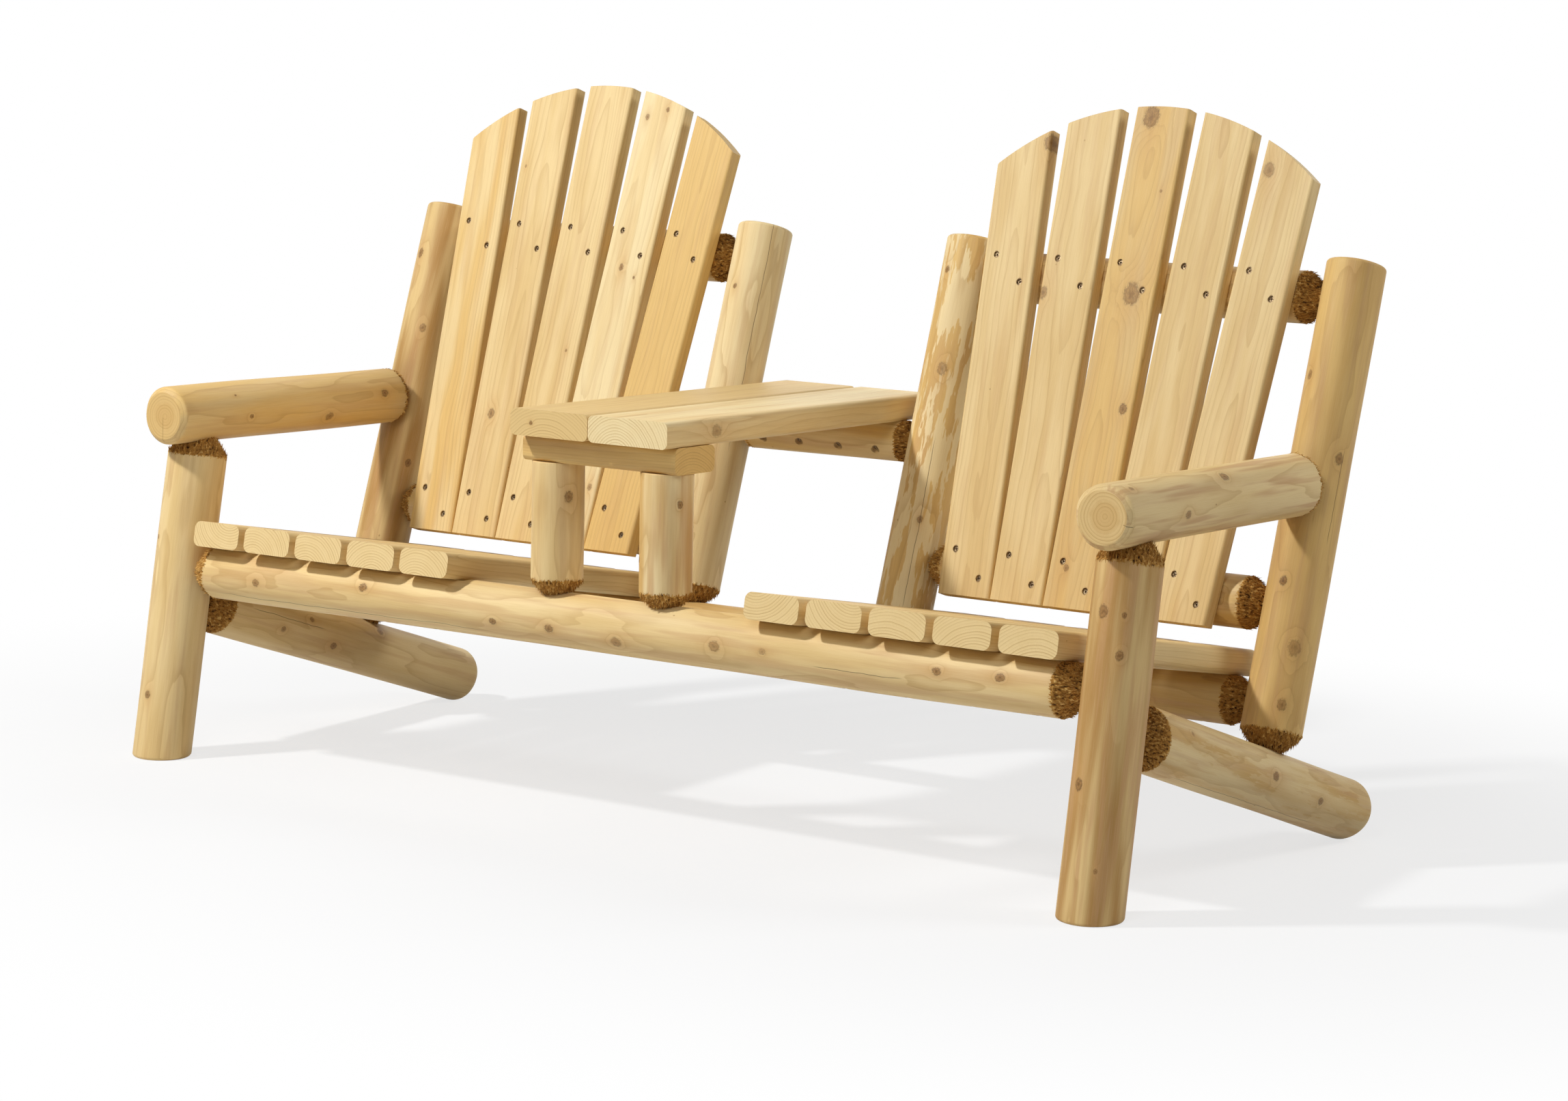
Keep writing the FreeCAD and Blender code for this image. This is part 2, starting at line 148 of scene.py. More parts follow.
def log_spot(name):
    """The log's frame, with its origin at the first end, its radius, length, shoulders and tenon sizes."""
    points, looks, areas = faces_of(name)
    weight = areas
    for limit in ALONG_LIMITS:
        spread = (looks * weight[:, None]).T @ looks
        axis = np.linalg.eigh(spread)[1][:, 0]
        weight = np.where(abs(looks @ axis) < limit, areas, 0)
    axis = axis * np.sign(axis[np.argmax(abs(axis))])
    across = np.array((0.0, 1.0, 0.0)) if abs(axis[0]) > 0.5 else np.array((1.0, 0.0, 0.0))
    across = across - axis * (across @ axis)
    across /= np.linalg.norm(across)
    through = np.cross(axis, across)
    t, a, b = points @ axis, points @ across, points @ through
    radius = max(np.ptp(a), np.ptp(b)) / 2
    middle = across * (a.max() + a.min()) / 2 + through * (b.max() + b.min()) / 2
    reach = np.hypot(a - middle @ across, b - middle @ through)
    body_t = t[reach > radius - ON_SKIN]
    ends = []
    for tip, shoulder in ((t.min(), body_t.min()), (t.max(), body_t.max())):
        tenon = reach[abs(t - tip) < ON_TIP].max()
        outside = (t < shoulder) if tip == t.min() else (t > shoulder)
        rims = t[outside & (abs(reach - tenon) < ON_TENON)]
        rim = rims[np.argmin(abs(rims - shoulder))] if len(rims) else tip
        ends.append((shoulder - t.min(), rim - t.min(), tenon))
    spot = Spot(middle + axis * t.min(), across, through, axis)
    return spot, radius, np.ptp(t), ends


LOG_NAMES = sorted(n for n in nodes if n.endswith(("leg", "arm", "_rail", "_post", "_log")))
logs = {name: log_spot(name) for name in LOG_NAMES}
print("logs:", len(logs), "radii:", sorted({round(float(entry[1]), 1) for entry in logs.values()}))


# %% Frame of a board
SAME_WAY, EDGE_LIMIT = 0.9999, 0.02


def main_look(looks, areas):
    """The direction that the largest flat area looks along, whichever way round."""
    strongest = looks[np.arange(len(looks)), abs(looks).argmax(axis=1)]
    turned = looks * np.sign(strongest)[:, None]
    kinds, index = np.unique(turned.round(3), axis=0, return_inverse=True)
    best = kinds[np.bincount(index.ravel(), areas).argmax()]
    near = turned @ (best / np.linalg.norm(best)) > SAME_WAY
    mean = (turned[near] * areas[near, None]).sum(axis=0)
    return mean / np.linalg.norm(mean)


def board_spot(name):
    """The board's frame: origin in its middle, X across, Y in from its show face and Z along the grain."""
    points, looks, areas = faces_of(name)
    through = main_look(looks, areas)
    edge = abs(looks @ through) < EDGE_LIMIT
    across = main_look(looks[edge], areas[edge])
    across = across - through * (across @ through)
    across /= np.linalg.norm(across)
    along = np.cross(across, through)
    if np.ptp(points @ across) > np.ptp(points @ along):
        along = across
    along = along * np.sign(along[np.argmax(abs(along))])
    through = through * np.sign(through @ (0, 1, -1))
    across = np.cross(through, along)
    spot = Spot((0, 0, 0), across, through, along)
    low, high = spot.local(points).min(0), spot.local(points).max(0)
    spot.origin = spot.world((low + high) / 2)
    return spot, high - low


BOARD_NAMES = sorted(n for n in nodes if "slat" in n or "plank" in n or n.endswith("board"))
boards = {name: board_spot(name) for name in BOARD_NAMES}
print("boards:", len(boards))
for name in ("left_seat_slat_1", "right_back_slat_5", "left_table_plank", "table_cross_board"):
    print(name, "across, through, along:", boards[name][1].round(1))

# %% [markdown]
# ## Peeled logs
# A peeled log is nearly round, with low swellings where knots were and a slow change of shape along it.
# Its ends are either sawn with an eased edge, or torn down to a tenon by a coarse cutter that leaves a
# rough cone. A tube from a primitive would look turned, so each log is built here ring by ring: few rings
# along the plain body, many on a torn end, where a later step needs points to move.

# %% Sizes that all logs share, in millimetres
ROUND = 168
BODY_STEP = 9.0
TORN_STEP = 1.3
TORN_REACH = 8.0
TORN_FADE = 0.75
FEWEST_TORN_RINGS = 4
CAP_SHARES = (0.002, 0.25, 0.5, 0.75, 0.92)
ARM_CORNER = 1.4
BEND_STEPS = 8
EASE = {"arm": 8.0, "post": 5.0, "foot": 5.0, "rail_end": 18.0, "sawn": 1.2}
ENDS = {
    "front_leg": ("foot", "cone"),
    "arm": ("arm", "cone"),
    "side_rail": ("cone", "rail_end"),
    "back_post": ("cone", "post"),
    "table_post": ("cone", "sawn"),
}


def ends_of(name):
    """The kinds of a log's two ends. All logs that aren't in ENDS have two cones."""
    return next((ENDS[kind] for kind in ENDS if name.endswith(kind)), ("cone", "cone"))


print("cones:", sum(ends_of(name).count("cone") for name in LOG_NAMES))


# %% Outline of one end, from its tip inwards
def end_outline(kind, radius, shoulder, rim, tenon):
    """Distance from the tip, radius and roughness of each ring of one end."""
    if kind == "cone":
        rings = [(0, 0.01, 0), (0, tenon * 0.6, 0), (0, tenon, 0), (rim * 0.5, tenon, 0)]
        count = max(FEWEST_TORN_RINGS, int((shoulder - rim) / TORN_STEP))
        for k in range(count + 1):
            share = k / count
            rings.append((rim + (shoulder - rim) * share, tenon + (radius - tenon) * share, 1))
        steps = int(TORN_REACH / TORN_STEP)
        for k in range(1, steps + 1):
            rings.append((shoulder + k * TORN_STEP, radius, TORN_FADE * (1 - k / steps)))
        return rings
    ease = EASE[kind]
    flat = radius - ease
    rings = [(0, flat * share, 0) for share in CAP_SHARES]
    if kind == "arm":
        corner = ARM_CORNER
        profile = [(0, flat), (0.25, flat + 0.5), (corner, flat + corner), (ease * 0.5, flat + ease * 0.5)]
        profile += [(ease - corner, radius - corner), (ease, radius - 0.4), (ease + corner * 2, radius)]
        return rings + [(t, r, 0) for t, r in profile]
    for k in range(BEND_STEPS + 1):
        bend = math.pi / 2 * k / BEND_STEPS
        rings.append((ease * (1 - math.cos(bend)), flat + ease * math.sin(bend), 0))
    return rings


print("rings on a torn end:", len(end_outline("cone", 44, 80, 40, 24)))

# %% [markdown]
# ## Flats under the boards
# Where a board bears on a log, the log is planed flat, 4 mm deep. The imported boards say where: each
# bearing plane is the hidden face of the boards that lie on it.

# %% Planed flats, read from the boards
FLAT_MARGIN, FLAT_GAP = 6, 0.05


def bearing(log_name, board_names):
    """A point on the bearing plane, its outward direction, and from where to where the flat runs across."""
    centre = logs[log_name][0].origin
    lows, highs = [], []
    for name in board_names:
        spot, size = boards[name]
        along, gap = spot.axes[2][1:], centre[1:] - spot.origin[1:]
        middle = spot.world((0, 0, gap @ along / (along @ along)))
        lows.append(middle[0] - size[0] / 2)
        highs.append(middle[0] + size[0] / 2)
    spot, size = boards[board_names[0]]
    return spot.world((0, size[1] / 2, 0)), -spot.axes[1], min(lows) - FLAT_MARGIN, max(highs) + FLAT_MARGIN


flats = {name: [] for name in LOG_NAMES}
for side in ("left", "right"):
    seat = [n for n in BOARD_NAMES if n.startswith(side + "_seat_slat")]
    fan = [n for n in BOARD_NAMES if n.startswith(side + "_back_slat")]
    for name in ("front_seat_rail", "rear_seat_rail"):
        flats[name].append(bearing(name, seat))
    for level in ("lower", "upper"):
        name = side + "_" + level + "_back_rail"
        flats[name].append(bearing(name, fan))
flats["table_rear_log"].append(bearing("table_rear_log", ["left_table_plank", "right_table_plank"]))
print("flats:", sum(len(found) for found in flats.values()))

# %% [markdown]
# ## Knots and cracks
# Knots are placed where the photograph shows them: millimetres along the log from its first end, degrees
# round it, and half their width. A knot also lifts the surface a little. Logs dry from the outside, so
# some have a long crack that looks inwards to the pith: degrees round, from where to where, and how far
# from the pith it starts.

# %% Knots on the logs: along, degrees round, half width
KNOTS = {
    "left_arm": [(444, -13, 5.5), (320, 25, 6), (145, 9, 3.2), (118, -38, 1.6)],
    "right_arm": [(255, -50, 6.5), (139, 6, 5), (30, -58, 3.5)],
    "right_outer_back_post": [(451, -28, 6), (275, -91, 5), (188, -48, 8.5), (110, -52, 6), (560, -120, 5)],
    "left_outer_back_post": [(305, -29, 4.5), (520, -60, 5), (640, -110, 6)],
    "right_front_leg": [(392, -97, 6.5), (390, -60, 3), (340, -61, 5), (174, -109, 6), (70, -60, 2.5)],
    "left_front_leg": [(96, -92, 4.5), (330, -120, 3)],
    "left_table_post": [(183, -27, 6), (64, -106, 3.5)],
    "right_table_post": [(189, -24, 4), (110, -130, 3)],
    "front_seat_rail": [
        (191, -178, 5), (397, 160, 5.5), (740, -168, 5.5), (856, -159, 6.5), (1023, -179, 6.5),
        (639, -167, 4.5), (1102, 179, 4), (1379, 170, 5), (1475, 165, 5.5),
    ],
    "rear_seat_rail": [(300, 170, 6), (720, 175, 6), (1390, 172, 3.5), (1440, -165, 5), (1000, 0, 6)],
    "right_inner_back_post": [(421, -75, 7), (568, -109, 4), (200, -60, 4)],
    "left_inner_back_post": [(330, -70, 4), (520, -95, 3), (150, -80, 3)],
    "left_side_rail": [(260, -20, 4), (430, -40, 5), (200, 15, 4), (320, 20, 5)],
    "right_side_rail": [(150, -30, 3), (380, -5, 6), (520, 10, 5)],
    "left_upper_back_rail": [(120, 180, 5), (430, 30, 6)],
    "right_upper_back_rail": [(140, 100, 5), (500, 0, 6)],
    "left_lower_back_rail": [(200, 20, 6), (520, 160, 4)],
    "right_lower_back_rail": [(90, 60, 5), (430, -10, 6)],
    "table_rear_log": [(60, -110, 3)],
}
CRACKS = {
    "left_arm": [(90, -3, 5, 2)],
    "right_arm": [(12, -3, 8, 31), (60, 240, 330, 30)],
    "left_inner_back_post": [(-38, 260, 720, 20)],
    "right_inner_back_post": [(-60, 60, 330, 20)],
    "front_seat_rail": [(-140, 90, 640, 20), (-165, 1180, 1330, 20)],
    "right_side_rail": [(60, 130, 560, 20)],
    "left_side_rail": [(-8, 120, 300, 20)],
    "right_outer_back_post": [(-20, 330, 470, 20)],
}
print("knots on logs:", sum(len(found) for found in KNOTS.values()))


def knot_place(radius, knot):
    """Centre of a knot on the log's skin and the way it looks, in the log's own frame."""
    along, degrees, size = knot
    look = np.array((math.cos(math.radians(degrees)), math.sin(math.radians(degrees)), 0.0))
    return look * radius + np.array((0, 0, along)), look, size


# %% [markdown]
# ## Where the screws are
# Some screw heads sit in pockets in the logs: under both seat rails and in front of the log below the
# table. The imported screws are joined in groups, so each one is found as an island of connected points. Its
# long direction is the screw's axis, and its widest part is the head.

# %% Screws, found in their packed groups
def screws_of(name):
    """Head centre, outward direction and length of each screw in a group, in millimetres."""
    mesh = bmesh.new()
    mesh.from_mesh(nodes[name].data)
    bmesh.ops.remove_doubles(mesh, verts=mesh.verts, dist=1e-6)
    found, seen = [], set()
    for start in mesh.verts:
        if start.index in seen:
            continue
        island, queue = [], [start]
        seen.add(start.index)
        while queue:
            point = queue.pop()
            island.append(point.co[:])
            for edge in point.link_edges:
                other = edge.other_vert(point)
                if other.index not in seen:
                    seen.add(other.index)
                    queue.append(other)
        points = np.array(island) / MM
        centre = points.mean(axis=0)
        axis = np.linalg.svd(points - centre)[2][0]
        t = (points - centre) @ axis
        reach = np.linalg.norm(points - centre - t[:, None] * axis, axis=1)
        if t[reach.argmax()] < 0:
            axis, t = -axis, -t
        found.append((centre + axis * t.max(), axis, np.ptp(t)))
    mesh.free()
    return found


SCREW_GROUPS = sorted(n for n in nodes if n.endswith("_screws"))
screws = {name: screws_of(name) for name in SCREW_GROUPS}
print("screws:", {name: len(found) for name, found in screws.items()})


# %% Pockets in a log
POCKET_RADIUS, POCKET_RIM, POCKET_FLOOR = 4.3, 5.6, -0.3
POCKET_STEP, POCKET_RINGS = 0.9, 7


def pockets_in(name):
    """The head centre and outward direction of each screw whose head sits in this log."""
    spot, radius, length = logs[name][:3]
    found = []
    for group in SCREW_GROUPS:
        for head, outward, span in screws[group]:
            x, y, t = spot.local(head)
            if math.hypot(x, y) < radius and 0 < t < length and abs(outward @ spot.axes[2]) < 0.5:
                found.append((head, outward))
    return found


def sink_pockets(points, pockets):
    """Lower the skin over each screw head down to the head."""
    for head, outward in pockets:
        away = points - head
        height = away @ outward
        aside = np.linalg.norm(away - height[:, None] * outward, axis=1)
        share = 1 - np.clip((aside - POCKET_RADIUS) / (POCKET_RIM - POCKET_RADIUS), 0, 1)
        share = np.where(height > POCKET_FLOOR, share, 0)
        points = points - outward * ((height - POCKET_FLOOR) * share)[:, None]
    return points


pockets = {name: pockets_in(name) for name in LOG_NAMES}
print("pockets in logs:", {name: len(found) for name, found in pockets.items() if found})


# %% Rings of one log
def log_rings(name):
    """Place along the log, radius and roughness of each ring, from the first end to the last."""
    spot, radius, length, ends = logs[name]
    first, last = ends_of(name)
    (shoulder_a, rim_a, tenon_a), (shoulder_b, rim_b, tenon_b) = ends
    start = end_outline(first, radius, shoulder_a, rim_a, tenon_a)
    finish = end_outline(last, radius, length - shoulder_b, length - rim_b, tenon_b)
    low, high = start[-1][0], length - finish[-1][0]
    steps = max(2, int(round((high - low) / BODY_STEP)))
    places = [low + (high - low) * k / steps for k in range(1, steps)]
    for head, outward in pockets[name]:
        centre = spot.local(head)[2]
        fine = [centre + k * POCKET_STEP for k in range(-POCKET_RINGS, POCKET_RINGS + 1)]
        places = [t for t in places if abs(t - centre) > POCKET_STEP * (POCKET_RINGS + 0.5)] + fine
    middle = [(t, radius, 0) for t in sorted(places)]
    return start + middle + [(length - s, r, rough) for s, r, rough in reversed(finish)]


print("rings on the front rail:", len(log_rings("front_seat_rail")))


# %% Swellings, ragged cones and knots
# Each swelling: its height, how many there are round the log, and the length over which it turns
SWELLINGS = ((0.45, 2, 230), (0.3, 3, -140), (0.25, 1, 95), (0.2, 5, 60))
SWELL_MIDDLE = 0.35
KNOT_RISE, KNOT_SPREAD = 0.9, 1.5
CONE_JAG, CONE_WAVE, CONE_REACH = 0.8, 0.8, 6
FOOT_REACH = 90


def swollen(name, along, reach, seed):
    """The points of each ring in the log's own frame."""
    spot, radius, length, ends = logs[name]
    draw = np.random.default_rng(seed)
    turn = np.linspace(0, 2 * math.pi, ROUND, endpoint=False)[None, :]
    phases = draw.uniform(0, 2 * math.pi, 5)
    sway = -SWELL_MIDDLE
    for (swell, waves, turn_length), phase in zip(SWELLINGS, phases):
        sway = sway + swell * np.cos(waves * turn + phase + along / turn_length)
    reach = reach + sway * reach / radius
    t = along + np.zeros_like(turn)
    for kind, (shoulder, rim, tenon), way in zip(ends_of(name), ends, (1, -1)):
        if kind == "cone":
            jag = draw.normal(size=ROUND)
            jag = (np.roll(jag, 1) + 2 * jag + np.roll(jag, -1)) / 4
            swell = np.cos(3 * turn[0] + phases[4]) * CONE_WAVE
            near = np.exp(-((along - shoulder) / CONE_REACH) ** 2)
            t = t + way * near * (jag * CONE_JAG + swell)[None, :]
    local = np.stack(np.broadcast_arrays(reach * np.cos(turn), reach * np.sin(turn), t), axis=-1)
    for knot in KNOTS.get(name, []):
        centre, look, size = knot_place(radius, knot)
        near = np.exp(-(((local - centre) / (size * KNOT_SPREAD)) ** 2).sum(axis=-1))
        local = local + look * (near * KNOT_RISE)[..., None]
    return local


def cut_foot(name, local, along):
    """Slide the lowest rings along the leg until its foot is level with the floor."""
    spot, radius, length, ends = logs[name]
    rise = spot.axes[:, 2]
    sunk = -(spot.origin[2] + local[..., 0] * rise[0] + local[..., 1] * rise[1]) / rise[2]
    level = -spot.origin[2] / rise[2]
    fade = np.clip(along / FOOT_REACH, 0, 1)
    fade = fade * fade * (3 - 2 * fade)
    local[..., 2] += sunk * (1 - fade) + level * fade - level * along / length


# %% One log as a mesh
def build_log(name, seed):
    """A peeled log with its torn or sawn ends, its flats and its pockets."""
    spot, rings = logs[name][0], log_rings(name)
    along, reach, rough = (np.array(column, float)[:, None] for column in zip(*rings))
    local = swollen(name, along, reach, seed)
    if ends_of(name)[0] == "foot":
        cut_foot(name, local, along)
    points = spot.world(local.reshape(-1, 3))
    for place, outward, x_low, x_high in flats[name]:
        proud = (points - place) @ outward
        over = (proud > -FLAT_GAP) & (points[:, 0] > x_low) & (points[:, 0] < x_high)
        points[over] -= (proud[over] + FLAT_GAP)[:, None] * outward
    points = sink_pockets(points, pockets[name])

    rows = len(rings)
    index = np.arange(rows * ROUND).reshape(rows, ROUND)
    after = np.roll(index, -1, axis=1)
    quads = np.stack([index[:-1], after[:-1], after[1:], index[1:]], axis=-1).reshape(-1, 4).tolist()
    caps = [index[0][::-1].tolist(), index[-1].tolist()]
    mesh = bpy.data.meshes.new(name + "_log")
    mesh.from_pydata((points * MM).tolist(), [], quads + caps)
    rough_all = np.broadcast_to(rough, (rows, ROUND)).astype(np.float32).ravel()
    mesh.attributes.new("rough", "FLOAT", "POINT").data.foreach_set("value", rough_all)
    grain = local.reshape(-1, 3).astype(np.float32)
    mesh.attributes.new("grain", "FLOAT_VECTOR", "POINT").data.foreach_set("vector", grain.ravel())
    mesh.shade_smooth()
    return put(name + "_peeled", mesh)


# %% [markdown]
# ## Shader maths as plain expressions
# A wood material has dozens of small sums. Written as nodes they are hard to follow, so a Wire wraps a
# socket and adds the Math node for each sign. Every other node comes from Graph.node.

# %% Wires
class Wire:
    """An output socket that takes part in sums."""

    def __init__(self, graph, socket):
        self.graph = graph
        self.socket = socket

    def maths(self, operation, *others, clamp=False):
        values = dict(enumerate((self,) + others))
        return self.graph.node("ShaderNodeMath", {"operation": operation, "use_clamp": clamp}, values)

    def __add__(self, other):
        return self.maths("ADD", other)

    def __sub__(self, other):
        return self.maths("SUBTRACT", other)

    def __mul__(self, other):
        return self.maths("MULTIPLY", other)

    def __truediv__(self, other):
        return self.maths("DIVIDE", other)

    def __rsub__(self, other):
        return self.graph.node("ShaderNodeMath", {"operation": "SUBTRACT"}, {0: other, 1: self})

    __radd__ = __add__
    __rmul__ = __mul__

    def bell(self):
        """1 at zero, falling to nothing either side."""
        return (self * self * -1).maths("EXPONENT")

    def ramp(self, low, high):
        """A smooth step from 0 at low to 1 at high."""
        settings = {"interpolation_type": "SMOOTHSTEP"}
        sockets = {"Value": self, "From Min": low, "From Max": high, "To Min": 0.0, "To Max": 1.0}
        return self.graph.node("ShaderNodeMapRange", settings, sockets)

    def most(self, other):
        return self.maths("MAXIMUM", other)


# %% Graphs
class Graph:
    """Adds nodes to one node tree."""

    def __init__(self, tree):
        self.tree = tree

    def node(self, kind, settings=None, sockets=None, output=0):
        made = self.tree.nodes.new(kind)
        for name, value in (settings or {}).items():
            setattr(made, name, value)
        for key, value in (sockets or {}).items():
            if isinstance(value, Wire):
                self.tree.links.new(value.socket, made.inputs[key])
            else:
                made.inputs[key].default_value = value
        return Wire(self, made.outputs[output])

    def outputs(self, wire):
        """Every output of the node that a wire comes from."""
        return [Wire(self, socket) for socket in wire.socket.node.outputs]

    def split(self, wire):
        """The three parts of a vector."""
        return self.outputs(self.node("ShaderNodeSeparateXYZ", None, {0: wire}))

    def vector(self, operation, *values, output=0, scale=None):
        sockets = dict(enumerate(values))
        if scale is not None:
            sockets["Scale"] = scale
        return self.node("ShaderNodeVectorMath", {"operation": operation}, sockets, output)

    def noise(self, place, detail=2.0, roughness=0.5, output=0):
        sockets = {"Vector": place, "Scale": 1.0, "Detail": detail, "Roughness": roughness}
        return self.node("ShaderNodeTexNoise", None, sockets, output)

    def mix(self, factor, a, b):
        """Mix two colours."""
        settings = {"data_type": "RGBA", "blend_type": "MIX"}
        return self.node("ShaderNodeMix", settings, {0: factor, 6: a, 7: b}, output=2)

    def place(self):
        """Object coordinates, in metres."""
        return self.node("ShaderNodeTexCoord", output=3)

    def end(self, kind, *results):
        """The last node of a tree, with its results linked in their order."""
        taken = self.tree.nodes.new(kind)
        for k, result in enumerate(results):
            self.tree.links.new(result.socket, taken.inputs[k])


def new_material(name):
    """An empty node material and its graph."""
    material = bpy.data.materials.new(name)
    material.use_nodes = True
    material.node_tree.nodes.clear()
    return material, Graph(material.node_tree)


def new_tree(name, kind, inputs, outputs):
    """A node tree with named sockets, its graph, and a wire from each input."""
    tree = bpy.data.node_groups.new(name, kind)
    for way, sockets in (("INPUT", inputs), ("OUTPUT", outputs)):
        for label, sort in sockets:
            tree.interface.new_socket(label, in_out=way, socket_type="NodeSocket" + sort)
    graph = Graph(tree)
    given = tree.nodes.new("NodeGroupInput")
    return tree, graph, [Wire(graph, given.outputs[k]) for k in range(len(inputs))]


def colour(red, green, blue):
    """An sRGB colour out of 255 as the linear values that a socket takes."""
    parts = [c / 255 for c in (red, green, blue)]
    linear = [c / 12.92 if c <= 0.04045 else ((c + 0.055) / 1.055) ** 2.4 for c in parts]
    return (*linear, 1.0)


print("a mid tone:", [round(c, 3) for c in colour(222, 190, 135)])

# %% [markdown]
# ## Knots in the wood
# A knot is a branch that runs out through the log, so in solid wood it is a cylinder that looks outwards.
# The group below measures how far a point is from that cylinder. It gives the knot's core, its dark rim,
# the halo of warmer wood drawn out along the grain, how far it pushes the rings aside, and its heart. The
# shade painted in and round a screw hole uses the same group.

# %% The knot group
KNOT_PARTS = ("Core", "Rim", "Halo", "Push", "Heart")
KNOT_SQUEEZE, HALO_SQUEEZE = (1.0, 1.0, 0.78), (1.0, 1.0, 0.36)
KNOT_BOTTOM = (-46.0, -38.0)


def make_knot_group():
    inputs = [(label, "Vector") for label in ("Place", "Centre", "Facing")]
    inputs += [(label, "Float") for label in ("Size", "Waver", "Shade")]
    outputs = [(label, "Float") for label in KNOT_PARTS]
    tree, graph, wires = new_tree("knot", "ShaderNodeTree", inputs, outputs)
    place, centre, facing, size, waver, shade = wires
    away = graph.vector("SUBTRACT", place, centre)
    depth = graph.vector("DOT_PRODUCT", away, facing, output=1)
    beside = graph.vector("SUBTRACT", away, graph.vector("SCALE", facing, scale=depth))
    squeezed = graph.vector("MULTIPLY", beside, KNOT_SQUEEZE)
    drawn_out = graph.vector("MULTIPLY", beside, HALO_SQUEEZE)
    reach = graph.vector("LENGTH", squeezed, output=1) / size + waver
    flame = graph.vector("LENGTH", drawn_out, output=1) / size + waver * 1.4
    near = depth.ramp(*KNOT_BOTTOM)
    graph.end(
        "NodeGroupOutput",
        (1 - reach.ramp(0.8, 1.05)) * near * shade,
        ((reach - 0.97) * 5.0).bell() * near * shade,
        (flame * 0.5).bell() * near,
        (reach * 0.5).bell() * near * size,
        (reach * 2.6).bell() * near * shade,
    )
    return tree


knot_group = make_knot_group()
print("knot group nodes:", len(knot_group.nodes))

# %% [markdown]
# ## Wood, solid all the way through
# Growth rings are cylinders round the pith. Where the surface of a log or board cuts them, they show as
# long arches; on an end they show as circles or arcs. So one field, the distance from the pith, draws
# both. The pith wanders a little along the piece, the rings vary, and knots push them aside. Over that lie
# the warmer heartwood, fine fibres, patches that the peeling left, cracks and specks. Torn cones are dark
# and fibrous, with painted shade in their hollows and painted light on their tips.

# %% Tones, as they look in plain light
CREAM, PALE, WHEAT = (238, 217, 167), (231, 204, 148), (221, 190, 130)
HONEY, TAN, AMBER = (223, 186, 116), (207, 168, 102), (203, 157, 96)
LATE, HEART, CRACK = (178, 136, 76), (202, 160, 98), (86, 58, 28)
# KNOT_DEEP is also the painted shade in and round the screw holes
KNOT, KNOT_DEEP, KNOT_RIM = (160, 117, 62), (106, 70, 32), (74, 46, 18)
# Of the torn tones, the darkest is painted shade in the cones' hollows and the palest painted light on their
# tips
TORN, TORN_HOLLOW_SHADE, TORN_TIP_LIGHT = (176, 126, 56), (60, 34, 8), (232, 192, 116)
ROSE, STEEL_LIGHT, STEEL_DARK = (196, 152, 104), (176, 154, 120), (84, 64, 42)

# %% Noises in the wood: millimetres across the grain and along it, detail, roughness
NOISES = {
    "flutter": (7.0, 7.0, 1.0, 0.5),
    "wide_warp": (46.0, 380.0, 1.0, 0.5),
    "fine_warp": (13.0, 85.0, 1.0, 0.5),
    "crack_sway": (40.0, 60.0, 2.0, 0.5),
    "fibre": (0.9, 42.0, 3.0, 0.6),
    "broad": (26.0, 260.0, 1.0, 0.5),
    "patch": (15.0, 220.0, 2.0, 0.55),
    "skin": (16.0, 105.0, 4.0, 0.62),
    "knot_fibre": (1.5, 3.6, 3.0, 0.7),
    "tear": (1.6, 7.0, 2.0, 0.5),
    "hair": (0.8, 5.0, 3.0, 0.7),
}
SEED_STEPS = (137.0, 71.0, 311.0)
WANDER, WANDER_LENGTH = 20.0, 330.0
CRACK_WIDTH, CRACK_TAPER = 0.42, 0.12
print("noises:", len(NOISES))


